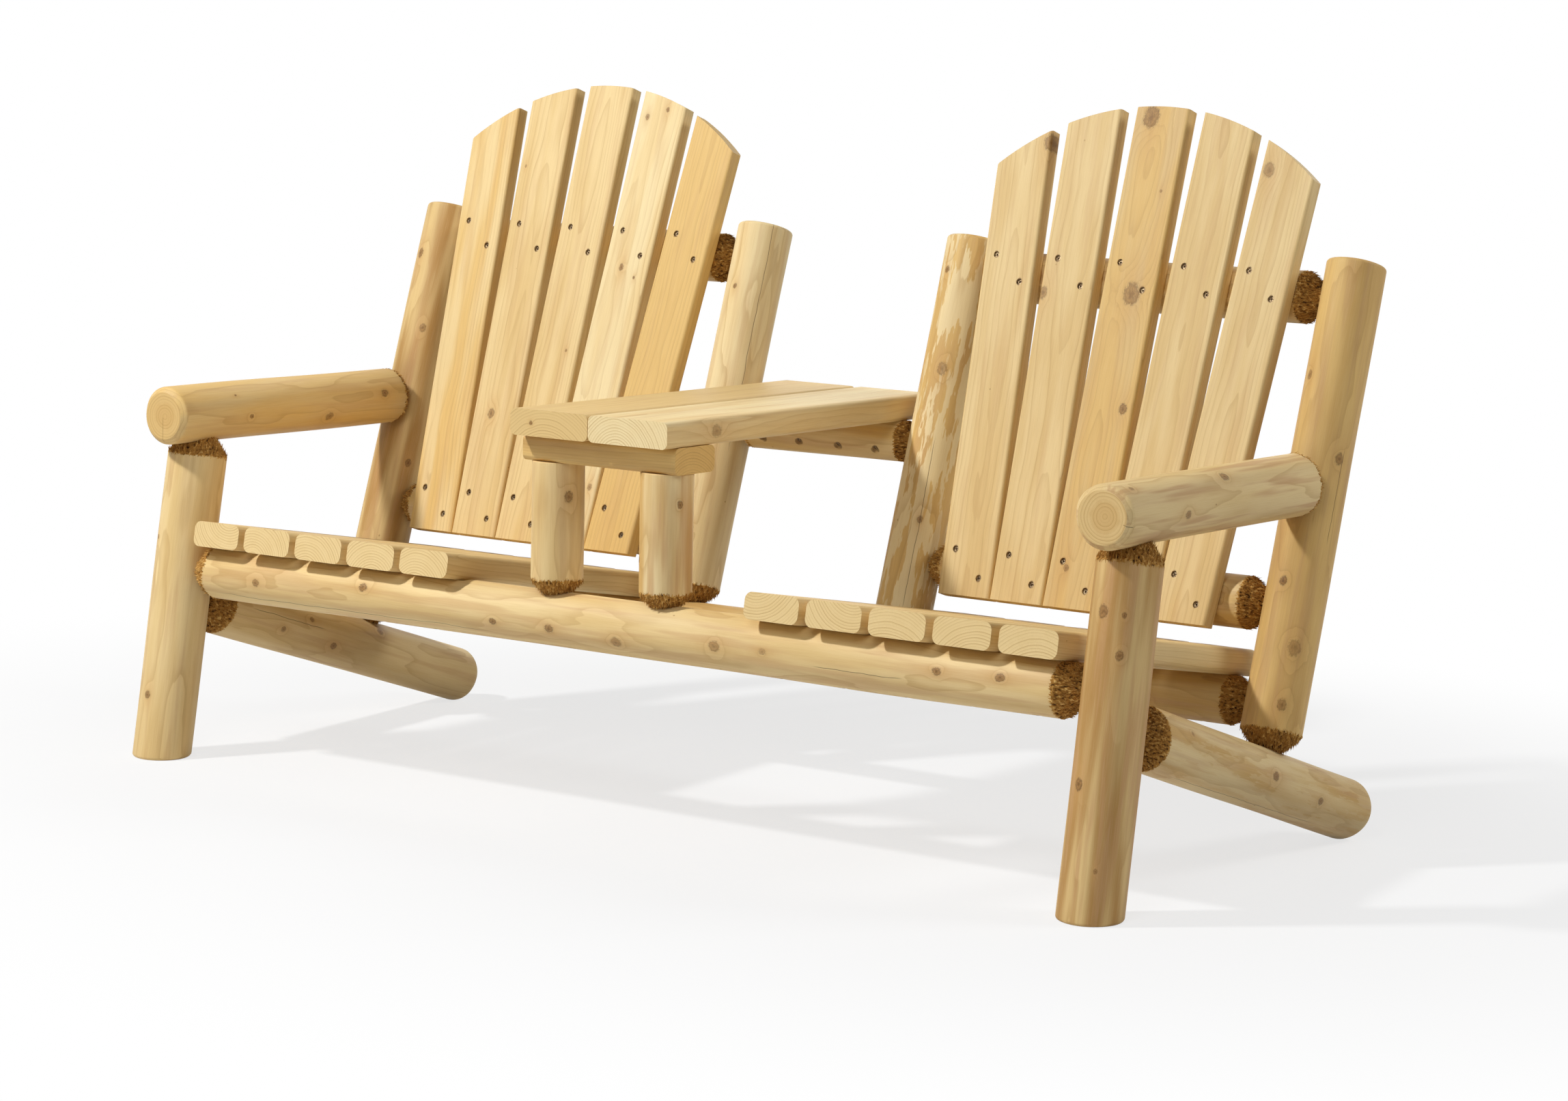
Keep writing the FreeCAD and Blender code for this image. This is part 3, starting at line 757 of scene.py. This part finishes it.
# %% One piece's wood
class Timber:
    """The node tree of one piece's wood, in the piece's own frame in millimetres."""

    def __init__(self, name, spot, seed):
        self.material, self.graph = new_material(name)
        graph = self.graph
        turn = Matrix([Vector(a) for a in spot.axes]).transposed().to_euler()
        sockets = {"Vector": graph.place(), "Location": Vector(spot.origin) * MM, "Rotation": turn}
        metres = graph.node("ShaderNodeMapping", {"vector_type": "TEXTURE"}, sockets)
        self.place = graph.vector("SCALE", metres, scale=1 / MM)
        self.moved = graph.vector("ADD", self.place, [seed * step for step in SEED_STEPS])
        self.x, self.y, self.t = graph.split(self.place)
        self.flutter = self.noise("flutter") - 0.5
        look = graph.node("ShaderNodeTexCoord", output=1)
        along = graph.vector("DOT_PRODUCT", look, tuple(spot.axes[2]), output=1)
        self.sawn = along.maths("ABSOLUTE").ramp(0.80, 0.95)
        self.knot = None
        self.tone = None

    def paint(self, share, tone):
        """Mix a tone over what is there."""
        self.tone = self.graph.mix(share, self.tone, colour(*tone))

    def stretched(self, across, along):
        return self.graph.vector("MULTIPLY", self.moved, (1 / across, 1 / across, 1 / along))

    def noise(self, name):
        across, along, detail, roughness = NOISES[name]
        return self.graph.noise(self.stretched(across, along), detail, roughness)

    def one_knot(self, centre, facing, size, waver, shade=1.0):
        """What the knot group gives for one knot, by name."""
        sockets = {"Place": self.place, "Centre": centre, "Facing": facing, "Size": size}
        sockets.update({"Waver": self.flutter * waver, "Shade": shade})
        made = self.graph.node("ShaderNodeGroup", {"node_tree": knot_group}, sockets)
        return dict(zip(KNOT_PARTS, self.graph.outputs(made)))

    def add_knots(self, knots, shades):
        """All knots together: their pushes added up, and the strongest of everything else."""
        for knot, shade in zip(knots, shades):
            found = self.one_knot(*knot, 0.55, shade)
            for part, wire in (self.knot or {}).items():
                found[part] = wire + found[part] if part == "Push" else wire.most(found[part])
            self.knot = found

    def grow_rings(self, pith, ring_width, line):
        """Latewood lines, and how far each point is from the pith."""
        drift = self.graph.vector("MULTIPLY", self.moved, (0.0, 0.0, 1 / WANDER_LENGTH))
        wander = self.graph.split(self.graph.noise(drift, output=1))
        off_x = self.x - pith[0] - (wander[0] - 0.5) * WANDER
        off_y = self.y - pith[1] - (wander[1] - 0.5) * WANDER
        self.far = (off_x * off_x + off_y * off_y).maths("SQRT")
        warp = (self.noise("wide_warp") - 0.5) * 13.0 + (self.noise("fine_warp") - 0.5) * 2.4
        rings = self.far + warp * (1 - self.sawn * 0.6)
        if self.knot:
            rings = rings + self.knot["Push"] * 1.1
        rings = rings / ring_width
        number = {"W": rings.maths("FLOOR")}
        strength = self.graph.node("ShaderNodeTexWhiteNoise", {"noise_dimensions": "1D"}, number)
        part = rings.maths("FRACT")
        soft = 0.4 * part.ramp(0.25, 0.97) + 0.6 * part.ramp(line, 0.97)
        return soft * (1 - part.ramp(0.965, 1.0)) * (strength * 0.8 + 0.2)

    def cracks(self, found):
        """Thin dark lines that look inwards to the pith."""
        total = None
        sway = (self.noise("crack_sway") - 0.5) * 7.0
        for degrees, start, finish, inner in found:
            c, s = math.cos(math.radians(degrees)), math.sin(math.radians(degrees))
            aside = self.x * s - self.y * c + sway * (1 - self.sawn * 0.8)
            outward = (self.x * c + self.y * s).ramp(inner - 1, inner + 1)
            reach = (finish - start) * CRACK_TAPER + 1
            span = self.t.ramp(start, start + reach) * (1 - self.t.ramp(finish - reach, finish))
            one = (aside / CRACK_WIDTH).bell() * outward * span
            total = one if total is None else total.most(one)
        return total


# %% Knots, painted shade at the screw holes, and cracks over the plain wood
def paint_marks(timber, height, holes, cracks):
    """Knots, painted shade in and round the screw holes, and drying cracks. Gives the height with them on it.
    """
    knot, graph = timber.knot, timber.graph
    if knot:
        fibre = timber.noise("knot_fibre")
        timber.paint(knot["Halo"] * 0.42, AMBER)
        inside = graph.mix(fibre.ramp(0.40, 0.60), colour(*KNOT_DEEP), colour(*KNOT))
        timber.tone = graph.mix(knot["Core"] * 0.78, timber.tone, inside)
        timber.paint(knot["Heart"] * 0.7, KNOT_DEEP)
        timber.paint(knot["Rim"] * fibre.ramp(0.36, 0.62) * 0.75, KNOT_RIM)
        height = height - knot["Rim"] * 0.6 + knot["Core"] * 0.4
    # Painted shade: each screw hole's wood is darkened in and round the hole
    for hole in holes:
        timber.paint(timber.one_knot(*hole, 0.6)["Core"] * 0.6, KNOT_DEEP)
    if cracks:
        split = timber.cracks(cracks)
        timber.paint(split * 0.85, CRACK)
        height = height - split * 2.0
    return height


# %% Torn ends
def paint_torn(timber, height, roughness):
    """The torn wood's own brown on the cones, with painted shade in the hollows and painted light on the
    tips. Gives the height and the roughness with them.
    """
    graph = timber.graph
    timber.paint(timber.sawn * 0.4, TAN)
    rough, chip = (
        graph.node("ShaderNodeAttribute", {"attribute_name": label}, output=2) for label in ("rough", "chip")
    )
    hair = timber.noise("hair")
    rough = (rough + (timber.noise("tear") - 0.5) * 1.3).ramp(0.42, 0.56)
    tuft = chip * 0.7 + hair * 0.3
    # Painted shade in the hollows and painted light on the tips, following the height of the tear
    shaggy = graph.mix(tuft.ramp(0.38, 0.50), colour(*TORN_HOLLOW_SHADE), colour(*TORN))
    shaggy = graph.mix(tuft.ramp(0.51, 0.64), shaggy, colour(*TORN_TIP_LIGHT))
    timber.tone = graph.mix(rough, timber.tone, shaggy)
    return height * (1 - rough) + hair * rough * 3.0, roughness + rough * 0.35


# %% A wood material for one piece
SPECK_ACROSS, SPECK_ALONG = 58.0, 90.0
BUMP = {"Strength": 0.35, "Distance": 0.0005}
SHINE = 0.3


def wood(name, spot, pith, pale, deep, seed, knots, holes, ring_width, contrast, line, streak,
         cracks=(), peel=0.0, heart=None, torn=False):
    """Solid wood, with painted shade in and round the screw holes. Knots and holes are (centre, facing, half
    width).
    """
    timber = Timber(name, spot, seed)
    graph, sawn = timber.graph, timber.sawn
    shades = np.random.default_rng(int(seed * 7)).uniform(0.5, 1.0, len(knots))
    timber.add_knots(knots, shades)
    late = timber.grow_rings(pith, ring_width, line)
    fibre, broad, patch = (timber.noise(label) for label in ("fibre", "broad", "patch"))

    timber.tone = graph.mix(broad.ramp(0.36, 0.66) * (1 - sawn * 0.8), colour(*pale), colour(*deep))
    if heart:
        core_wood = 1 - (timber.far + (patch - 0.5) * 16.0).ramp(heart - 5.0, heart + 4.0)
        timber.paint(core_wood * 0.5, HEART)
    timber.paint(patch.ramp(0.49, 0.66) * (1 - sawn) * streak, ROSE)
    if peel:
        timber.paint(timber.noise("skin").ramp(0.485, 0.515) * peel, CREAM)
    timber.paint(late * (contrast + sawn * (0.48 if torn else 0.36)), LATE)
    timber.paint((fibre - 0.5).maths("MULTIPLY", 0.75, clamp=True), LATE)
    timber.paint((0.5 - fibre).maths("MULTIPLY", 0.6, clamp=True), CREAM)
    cells = {"Vector": timber.stretched(SPECK_ACROSS, SPECK_ALONG), "Scale": 1.0, "Randomness": 1.0}
    speck = graph.node("ShaderNodeTexVoronoi", None, cells)
    timber.paint((1 - speck.ramp(0.012, 0.026)) * 0.7, KNOT)

    height = paint_marks(timber, fibre * 0.35 - late * 0.25, holes, cracks)
    roughness = fibre * 0.16 + 0.48 + sawn * 0.2
    if torn:
        height, roughness = paint_torn(timber, height, roughness)
    bump = graph.node("ShaderNodeBump", None, {**BUMP, "Height": height})
    sockets = {"Base Color": timber.tone, "Roughness": roughness, "Normal": bump, "Specular IOR Level": SHINE}
    graph.end("ShaderNodeOutputMaterial", graph.node("ShaderNodeBsdfPrincipled", None, sockets))
    return timber.material


# %% [markdown]
# ## Tearing the ends
# The cutter leaves short fibres on the cones. A geometry tree moves the points of a torn end in and out by
# a noise, keeps that noise as an attribute so that the material can paint shade into the hollows and light
# onto the tips, and then sets short splinters on the cone that lean towards its tip.

# %% Helpers for geometry trees
GEOMETRY = [("Geometry", "Geometry")]
ON_POINTS = {"data_type": "FLOAT", "domain": "POINT"}


def attribute(graph, name, kind):
    """An attribute that the mesh already has."""
    return graph.node("GeometryNodeInputNamedAttribute", {"data_type": kind}, {"Name": name})


def joined(graph, *shapes):
    """Several shapes as one."""
    join = graph.tree.nodes.new("GeometryNodeJoinGeometry")
    for shape in shapes:
        graph.tree.links.new(shape.socket, join.inputs[0])
    return Wire(graph, join.outputs[0])


def finished(graph, shape, material):
    """Plain faces with their material, as the tree's result."""
    whole = graph.node("GeometryNodeRealizeInstances", None, {"Geometry": shape})
    painted = graph.node("GeometryNodeSetMaterial", None, {"Geometry": whole, "Material": material})
    graph.end("NodeGroupOutput", painted)


# %% Geometry tree for torn ends
CHIP_SCALE, CHIP_MIDDLE = (0.33, 0.33, 0.16), 0.55
FULLY_ROUGH, SPLINTER_LEAN = 0.9, 0.05
SPLINTER_SIZES = {2: 0.6, 3: 1.5, "Seed": 3}
SPLINTER = {"Vertices": 3, "Radius Top": 0.0, "Radius Bottom": 0.0006, "Depth": 0.005}
RUFFLE = {"Min": (-0.35, -0.35, -0.35), "Max": (0.35, 0.35, 0.35), "Seed": 8}


def torn_tree():
    labels = [("Depth", "Float"), ("Shift", "Float"), ("Grain Line", "Vector")]
    labels += [("Splinters", "Float"), ("Wood", "Material")]
    tree, graph, wires = new_tree("torn_ends", "GeometryNodeTree", GEOMETRY + labels, GEOMETRY)
    shape, depth, shift, line, count, wood_in = wires
    grain, rough = attribute(graph, "grain", "FLOAT_VECTOR"), attribute(graph, "rough", "FLOAT")
    squeezed = graph.vector("MULTIPLY", graph.vector("ADD", grain, shift), CHIP_SCALE)
    chip = graph.noise(squeezed, detail=3.0, roughness=0.65)
    lift = (chip - CHIP_MIDDLE) * depth * rough
    look = graph.node("GeometryNodeInputNormal")
    moved = {"Geometry": shape, "Offset": graph.vector("SCALE", look, scale=lift)}
    body_shape = graph.node("GeometryNodeSetPosition", None, moved)
    stored = {"Geometry": body_shape, "Name": "chip", "Value": chip}
    body_shape = graph.node("GeometryNodeStoreNamedAttribute", ON_POINTS, stored)

    outer = rough.maths("GREATER_THAN", FULLY_ROUGH)
    spread = {"Mesh": body_shape, "Selection": outer, "Density": count, "Seed": 5}
    points = graph.node("GeometryNodeDistributePointsOnFaces", {"distribute_method": "RANDOM"}, spread)
    normal = Wire(graph, points.socket.node.outputs["Normal"])
    way = graph.vector("DOT_PRODUCT", normal, line, output=1).maths("SIGN")
    random = graph.node("FunctionNodeRandomValue", {"data_type": "FLOAT_VECTOR"}, RUFFLE)
    lean = graph.vector("SCALE", normal, scale=SPLINTER_LEAN)
    aim = graph.vector("ADD", graph.vector("SCALE", line, scale=way), lean)
    aim = graph.vector("ADD", aim, random)
    turned = graph.node("FunctionNodeAlignRotationToVector", {"axis": "Z"}, {"Vector": aim})
    splinter = graph.node("GeometryNodeMeshCone", {"fill_type": "NGON"}, SPLINTER)
    sizes = graph.node("FunctionNodeRandomValue", {"data_type": "FLOAT"}, SPLINTER_SIZES, output=1)
    sockets = {"Points": points, "Instance": splinter, "Rotation": turned, "Scale": sizes}
    tufts = graph.node("GeometryNodeInstanceOnPoints", None, sockets)
    tufts = graph.node("GeometryNodeRealizeInstances", None, {"Geometry": tufts})
    stored = {"Geometry": tufts, "Name": "rough", "Value": 1.0}
    tufts = graph.node("GeometryNodeStoreNamedAttribute", ON_POINTS, stored)
    finished(graph, joined(graph, tufts, body_shape), wood_in)
    return tree


def run_tree(made, tree, values):
    """Run a geometry tree on an object and keep the result as its plain mesh."""
    modifier = made.modifiers.new(tree.name, "NODES")
    modifier.node_group = tree
    for item in tree.interface.items_tree:
        if item.in_out == "INPUT" and item.name in values:
            modifier[item.identifier] = values[item.name]
    graph = bpy.context.evaluated_depsgraph_get()
    shown = made.evaluated_get(graph)
    mesh = bpy.data.meshes.new_from_object(shown, preserve_all_data_layers=True, depsgraph=graph)
    made.modifiers.clear()
    made.data = mesh


torn = torn_tree()
print("torn tree nodes:", len(torn.nodes))

# %% Tones of the logs: pale, deep, streak
LOG_TONES = {
    "left_front_leg": (PALE, WHEAT, 0.35), "right_front_leg": (WHEAT, LATE, 0.6),
    "left_arm": (WHEAT, HONEY, 0.3), "right_arm": (PALE, WHEAT, 0.7),
    "left_side_rail": (PALE, WHEAT, 0.4), "right_side_rail": (PALE, TAN, 0.5),
    "left_outer_back_post": (WHEAT, LATE, 0.4), "right_outer_back_post": (HONEY, TAN, 0.4),
    "left_inner_back_post": (CREAM, PALE, 0.25), "right_inner_back_post": (HONEY, TAN, 0.4),
    "front_seat_rail": (PALE, WHEAT, 0.4), "rear_seat_rail": (WHEAT, TAN, 0.5),
    "left_table_post": (PALE, WHEAT, 0.25), "right_table_post": (CREAM, TAN, 0.6),
}
PEELED = {"right_inner_back_post": 0.85, "right_side_rail": 0.3}
print("logs with their own tones:", len(LOG_TONES))

# %% Make the logs
# The first number is the half width of the shade painted in and round each screw pocket
POCKET_SHADE_SIZE, LOG_RINGS = 6.0, {"ring_width": 4.4, "contrast": 0.52, "line": 0.74}
TEAR = {"Depth": 0.011, "Splinters": 90000.0}
LOG_DRAW, LOG_WOOD, LOG_SHIFT, LOG_PITH = 100, 1.0, 53.0, 5
for seed, name in enumerate(LOG_NAMES):
    spot, radius = logs[name][:2]
    pale, deep, streak = LOG_TONES.get(name, (PALE, HONEY, 0.4))
    draw = np.random.default_rng(LOG_DRAW + seed)
    pith = draw.uniform(-LOG_PITH, LOG_PITH, 2)
    knots = [knot_place(radius, knot) for knot in KNOTS.get(name, [])]
    # Screw pockets, each with painted shade in and round its hole
    holes = [(spot.local(head), spot.axes @ outward, POCKET_SHADE_SIZE) for head, outward in pockets[name]]
    finish = wood(
        name + "_wood", spot, pith, pale, deep, seed + LOG_WOOD,
        knots=knots, holes=holes, cracks=CRACKS.get(name, ()), streak=streak,
        peel=PEELED.get(name, 0.0), heart=radius * 0.5, torn=True, **LOG_RINGS,
    )
    piece = build_log(name, seed)
    values = {**TEAR, "Shift": seed * LOG_SHIFT, "Grain Line": Vector(spot.axes[2]), "Wood": finish}
    run_tree(piece, torn, values)
    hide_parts(name)
    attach(piece, body)
dressed = [o for o in bpy.data.objects if o.name.endswith("_peeled")]
counts = [sum(len(f.vertices) - 2 for f in o.data.polygons) for o in dressed]
print("triangles on logs:", sum(counts), "most on one:", max(counts))

# %% [markdown]
# ## Sawn boards
# The boards are kept as the model has them, because their shape is right: planed faces, rounded long edges
# and drilled holes. Each gets its own wood, with the pith outside the board as in a real plank, so the
# rings show as arcs on the ends and as arches on the faces.

# %% Knots on the back slats: across from the middle, up from the foot, half width
SLAT_KNOTS = {
    "right_back_slat_3": [(-16, 706, 12), (6, 450, 12), (27, 286, 6), (-15, 56, 4), (22, 600, 2)],
    "right_back_slat_5": [(-29, 640, 8)],
    "right_back_slat_1": [(42, 665, 9)],
    "right_back_slat_2": [(-37, 446, 7)],
    "left_back_slat_2": [(-7, 193, 6), (-30, 590, 2)],
    "left_back_slat_4": [(30, 96, 4), (-8, 438, 4), (20, 424, 2), (-26, 676, 3.5), (10, 690, 3)],
    "left_back_slat_3": [(20, 300, 2)],
}
BOARD_TONES = {
    "left_back_slat_1": (PALE, HONEY), "left_back_slat_4": (CREAM, PALE), "left_back_slat_5": (HONEY, HONEY),
    "right_back_slat_3": (WHEAT, HONEY), "right_back_slat_5": (PALE, WHEAT),
    "left_table_plank": (WHEAT, WHEAT), "right_table_plank": (CREAM, PALE), "table_cross_board": (HONEY, TAN),
}
FLAT_SAWN = ["left_back_slat_3", "left_back_slat_5"]
FLAT_SAWN += ["right_back_slat_1", "right_back_slat_3", "right_back_slat_5"]
fan_lengths = {round(float(boards[n][1][2])) for n in BOARD_NAMES if "back_slat" in n}
print("slat lengths:", sorted(fan_lengths))
print("knots on slats:", sum(len(found) for found in SLAT_KNOTS.values()))


# %% Knots of one board, and its screw holes for painted shade
# Half width of the shade painted in and round each screw hole
HOLE_SHADE_SIZE = 4.7


def board_marks(name):
    """Knots, and the screw holes that get painted shade, as (centre, facing, half width) in the board's
    frame.
    """
    spot, size = boards[name]
    show, out = -size[1] / 2, (0.0, -1.0, 0.0)
    knots = [((a, show, t - size[2] / 2), out, r) for a, t, r in SLAT_KNOTS.get(name, [])]
    # The left plank has a knot on its front end, and the right one on its long edge
    if name == "left_table_plank":
        knots = [((-31.0, 0.0, -size[2] / 2), (0.0, 0.0, -1.0), 3.0)]
    if name == "right_table_plank":
        knots = [((size[0] / 2, 0.0, -208.0), (1.0, 0.0, 0.0), 8.0)]
    holes = []
    if "back_slat" in name:
        for group in SCREW_GROUPS:
            for head, outward, span in screws[group]:
                near = spot.local(head)
                if (abs(near) < size * (0.5, 1, 0.5)).all():
                    holes.append((tuple(near), out, HOLE_SHADE_SIZE))
    return knots, holes


# %% Make the boards' wood
BOARD_RINGS = {"ring_width": 3.9, "contrast": 0.42, "line": 0.7, "streak": 0.2}
BOARD_DRAW, BOARD_WOOD = 400, 31.0
PITH_ACROSS, PITH_DEEP = (-30, 30), (28, 75)
FLAT_PITH_ACROSS, FLAT_PITH_DEEP = (-12, 12), (16, 24)
for seed, name in enumerate(BOARD_NAMES):
    spot, size = boards[name]
    draw = np.random.default_rng(BOARD_DRAW + seed)
    pale, deep = BOARD_TONES.get(name, (PALE, WHEAT))
    pith = (draw.uniform(*PITH_ACROSS), draw.uniform(*PITH_DEEP) * draw.choice((-1, 1)))
    if name in FLAT_SAWN:
        pith = (draw.uniform(*FLAT_PITH_ACROSS), draw.uniform(*FLAT_PITH_DEEP))
    knots, holes = board_marks(name)
    seeded = seed + BOARD_WOOD
    finish = wood(name + "_wood", spot, pith, pale, deep, seeded, knots=knots, holes=holes, **BOARD_RINGS)
    for held in nodes[name].material_slots:
        held.material = finish
print("board materials:", len(BOARD_NAMES))

# %% [markdown]
# ## Screws
# There are 72 screws alike, so one is modelled and set at every place. The tree makes a countersunk head
# with a square recess on a plain shank, and turns each copy to its own direction.

# %% Steel for the screws
METAL = 0.8


def steel(name):
    material, graph = new_material(name)
    place = graph.vector("SCALE", graph.place(), scale=1 / MM)
    stain = graph.noise(graph.vector("SCALE", place, scale=0.5), detail=3.0)
    scratch = graph.noise(graph.vector("SCALE", place, scale=2.2), detail=2.0)
    tone = graph.mix(stain.ramp(0.34, 0.58), colour(*STEEL_LIGHT), colour(*STEEL_DARK))
    sockets = {"Base Color": tone, "Roughness": scratch * 0.3 + 0.35, "Metallic": METAL}
    graph.end("ShaderNodeOutputMaterial", graph.node("ShaderNodeBsdfPrincipled", None, sockets))
    return material


screw_steel = steel("screw_steel")
print("steel nodes:", len(screw_steel.node_tree.nodes))


# %% Geometry tree for the screws
HEAD_SIDES, SHANK_SIDES, RECESS_SIDES = 28, 14, 4
POINT_SHARE, RECESS_SHARE = 0.15, 0.8


def screw_tree():
    labels = ("Length", "Head Radius", "Head Height", "Shank Radius", "Recess Radius", "Recess Depth")
    sockets = GEOMETRY + [(label, "Float") for label in labels] + [("Steel", "Material")]
    tree, graph, wires = new_tree("drive_screws", "GeometryNodeTree", sockets, GEOMETRY)
    points, length, head, height, shank, recess, sunk, coat = wires

    def cone(sides, upper, lower, depth, drop):
        """A cone between two radii, let down from the face of the head."""
        sizes = {"Vertices": sides, "Radius Top": upper, "Radius Bottom": lower, "Depth": depth}
        shape = graph.node("GeometryNodeMeshCone", None, sizes)
        spot = graph.node("ShaderNodeCombineXYZ", None, {2: drop * -1})
        return graph.node("GeometryNodeTransform", None, {"Geometry": shape, "Translation": spot})

    top = cone(HEAD_SIDES, head, shank, height, height)
    stem = cone(SHANK_SIDES, shank, shank * POINT_SHARE, length - height, length)
    drive = cone(RECESS_SIDES, recess, recess * RECESS_SHARE, sunk * 2, sunk)
    cut = graph.node("GeometryNodeMeshBoolean", {"operation": "DIFFERENCE"}, {"Mesh 1": top, "Mesh 2": drive})
    facing = attribute(graph, "facing", "FLOAT_VECTOR")
    turned = graph.node("FunctionNodeAlignRotationToVector", {"axis": "Z"}, {"Vector": facing})
    sockets = {"Points": points, "Instance": joined(graph, stem, cut), "Rotation": turned}
    finished(graph, graph.node("GeometryNodeInstanceOnPoints", None, sockets), coat)
    return tree


SCREW_SIZES = {"Head Radius": 4.0, "Head Height": 3.0, "Shank Radius": 2.25}
SCREW_SIZES.update({"Recess Radius": 2.1, "Recess Depth": 1.7})
driven = screw_tree()
for name in SCREW_GROUPS:
    mesh = bpy.data.meshes.new(name + "_places")
    mesh.from_pydata([tuple(head * MM) for head, outward, span in screws[name]], [], [])
    facing = np.array([outward for head, outward, span in screws[name]], np.float32)
    mesh.attributes.new("facing", "FLOAT_VECTOR", "POINT").data.foreach_set("vector", facing.ravel())
    piece = put(name + "_driven", mesh)
    sizes = {label: size * MM for label, size in SCREW_SIZES.items()}
    sizes.update({"Length": float(screws[name][0][2]) * MM, "Steel": screw_steel})
    run_tree(piece, driven, sizes)
    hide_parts(name)
    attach(piece, body)
    print(name, "faces:", len(piece.data.polygons))

# %% [markdown]
# ## Floor, light and camera
# The bench stands on a pale floor. The photograph has one small strong lamp high at the left front, which
# throws the slats' crisp shadows down the front rail, a soft one in front and a rim of light from the
# right. A weak one behind lights the backs of the posts. The camera stands where the photographer did,
# worked out from points on the logs, with a long lens.

# %% White where a ray comes straight from the camera
def shown_to_camera(graph):
    """1 for rays from the camera and for mirrored ones."""
    rays = graph.tree.nodes.new("ShaderNodeLightPath")
    straight, mirrored = (Wire(graph, rays.outputs[label]) for label in ("Is Camera Ray", "Is Glossy Ray"))
    return straight.most(mirrored)


# %% Floor
SHADOW_SHARE, SHADOW_REACH = 0.28, (0.65, 1.7)
SHADOW_MIDDLE, SHADOW_SQUEEZE = (0.1, 0.15, 0.0), (0.8, 1.0, 0.0)


def pale_floor():
    material, graph = new_material("pale_floor")
    flat = graph.vector("MULTIPLY", graph.place(), SHADOW_SQUEEZE)
    away = graph.vector("LENGTH", graph.vector("SUBTRACT", flat, SHADOW_MIDDLE), output=1)
    clear = away.ramp(*SHADOW_REACH) * SHADOW_SHARE + (1 - SHADOW_SHARE)
    matt = graph.node("ShaderNodeBsdfDiffuse", None, {"Color": (0.8, 0.8, 0.8, 1)})
    glow = graph.node("ShaderNodeEmission", None, {"Color": (1, 1, 1, 1), "Strength": 1.0})
    shader = graph.node("ShaderNodeMixShader", None, {0: shown_to_camera(graph) * clear, 1: matt, 2: glow})
    graph.end("ShaderNodeOutputMaterial", shader)
    return material


bpy.ops.mesh.primitive_plane_add(size=60)
floor = bpy.context.object
floor.name = "studio_floor"
floor.data.materials.append(pale_floor())
floor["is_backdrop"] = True
print("floor:", floor.name)

# %% World: white to the camera, a faint glow to the wood
WOOD_FILL = 0.04
world = bpy.data.worlds.new("studio")
bpy.context.scene.world = world
world.use_nodes = True
world.node_tree.nodes.clear()
graph = Graph(world.node_tree)
shown = graph.node("ShaderNodeBackground", None, {"Color": (1, 1, 1, 1), "Strength": 1.0})
fill = graph.node("ShaderNodeBackground", None, {"Color": (1, 1, 1, 1), "Strength": WOOD_FILL})
sky = graph.node("ShaderNodeMixShader", None, {0: shown_to_camera(graph), 1: fill, 2: shown})
graph.end("ShaderNodeOutputWorld", sky)
print("light from the world:", WOOD_FILL)

# %% Lamps
# Each lamp: its place, what it looks at, its size in metres and its power in watts
LAMPS = {
    "high_key": ((-2.1, -2.6, 3.8), (0, 0, 0.4), 0.35, 188),
    "front_fill": ((1.3, -3.6, 3.1), (0, 0, 0.4), 1.6, 42),
    "right_rim": ((3.0, 1.6, 2.6), (0, 0, 0.5), 1.2, 46),
    "behind": ((-1.5, 3.8, 2.2), (0, 0, 0.5), 3.0, 24),
}
for name, (place, target, size, power) in LAMPS.items():
    lamp = bpy.data.lights.new(name, "AREA")
    lamp.shape = "SQUARE"
    lamp.size = size
    lamp.energy = power
    made = put(name, lamp)
    made.location = place
    made.rotation_euler = (Vector(target) - Vector(place)).to_track_quat("-Z", "Y").to_euler()
print("lamps:", list(LAMPS))

# %% Camera
eye = Vector((3307.6, -4503.1, 1111.4)) * MM
yaw, pitch, roll = 0.62102, -0.10530, 0.02426
focal_pixels, picture_width, picture_height = 5780.0, 2296, 1612
horizon_row = 640
forward = Vector((-math.sin(yaw) * math.cos(pitch), math.cos(yaw) * math.cos(pitch), math.sin(pitch)))
level = forward.cross(Vector((0, 0, 1))).normalized()
upright = level.cross(forward)
side = level * math.cos(roll) + upright * math.sin(roll)
rise = upright * math.cos(roll) - level * math.sin(roll)
lens = bpy.data.cameras.new("camera")
lens.sensor_width = 36
lens.lens = focal_pixels * lens.sensor_width / picture_width
lens.shift_y = -(picture_height / 2 - horizon_row) / picture_width
camera = put("camera", lens)
camera.matrix_world = Matrix.Translation(eye) @ Matrix((side, rise, -forward)).transposed().to_4x4()
bpy.context.scene.camera = camera
bpy.context.scene.view_settings.view_transform = "Standard"
print("lens:", round(lens.lens, 1), "shift:", round(lens.shift_y, 3))

# %% Measure the dressed bench's box and print it beside the imported one's
bpy.context.view_layer.update()
dressed_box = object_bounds()
sizes = {"cad": [list(corner) for corner in cad_box], "visual": [list(corner) for corner in dressed_box]}
print("boxes:", [[round(v, 4) for v in corner] for corner in (*cad_box, *dressed_box)])
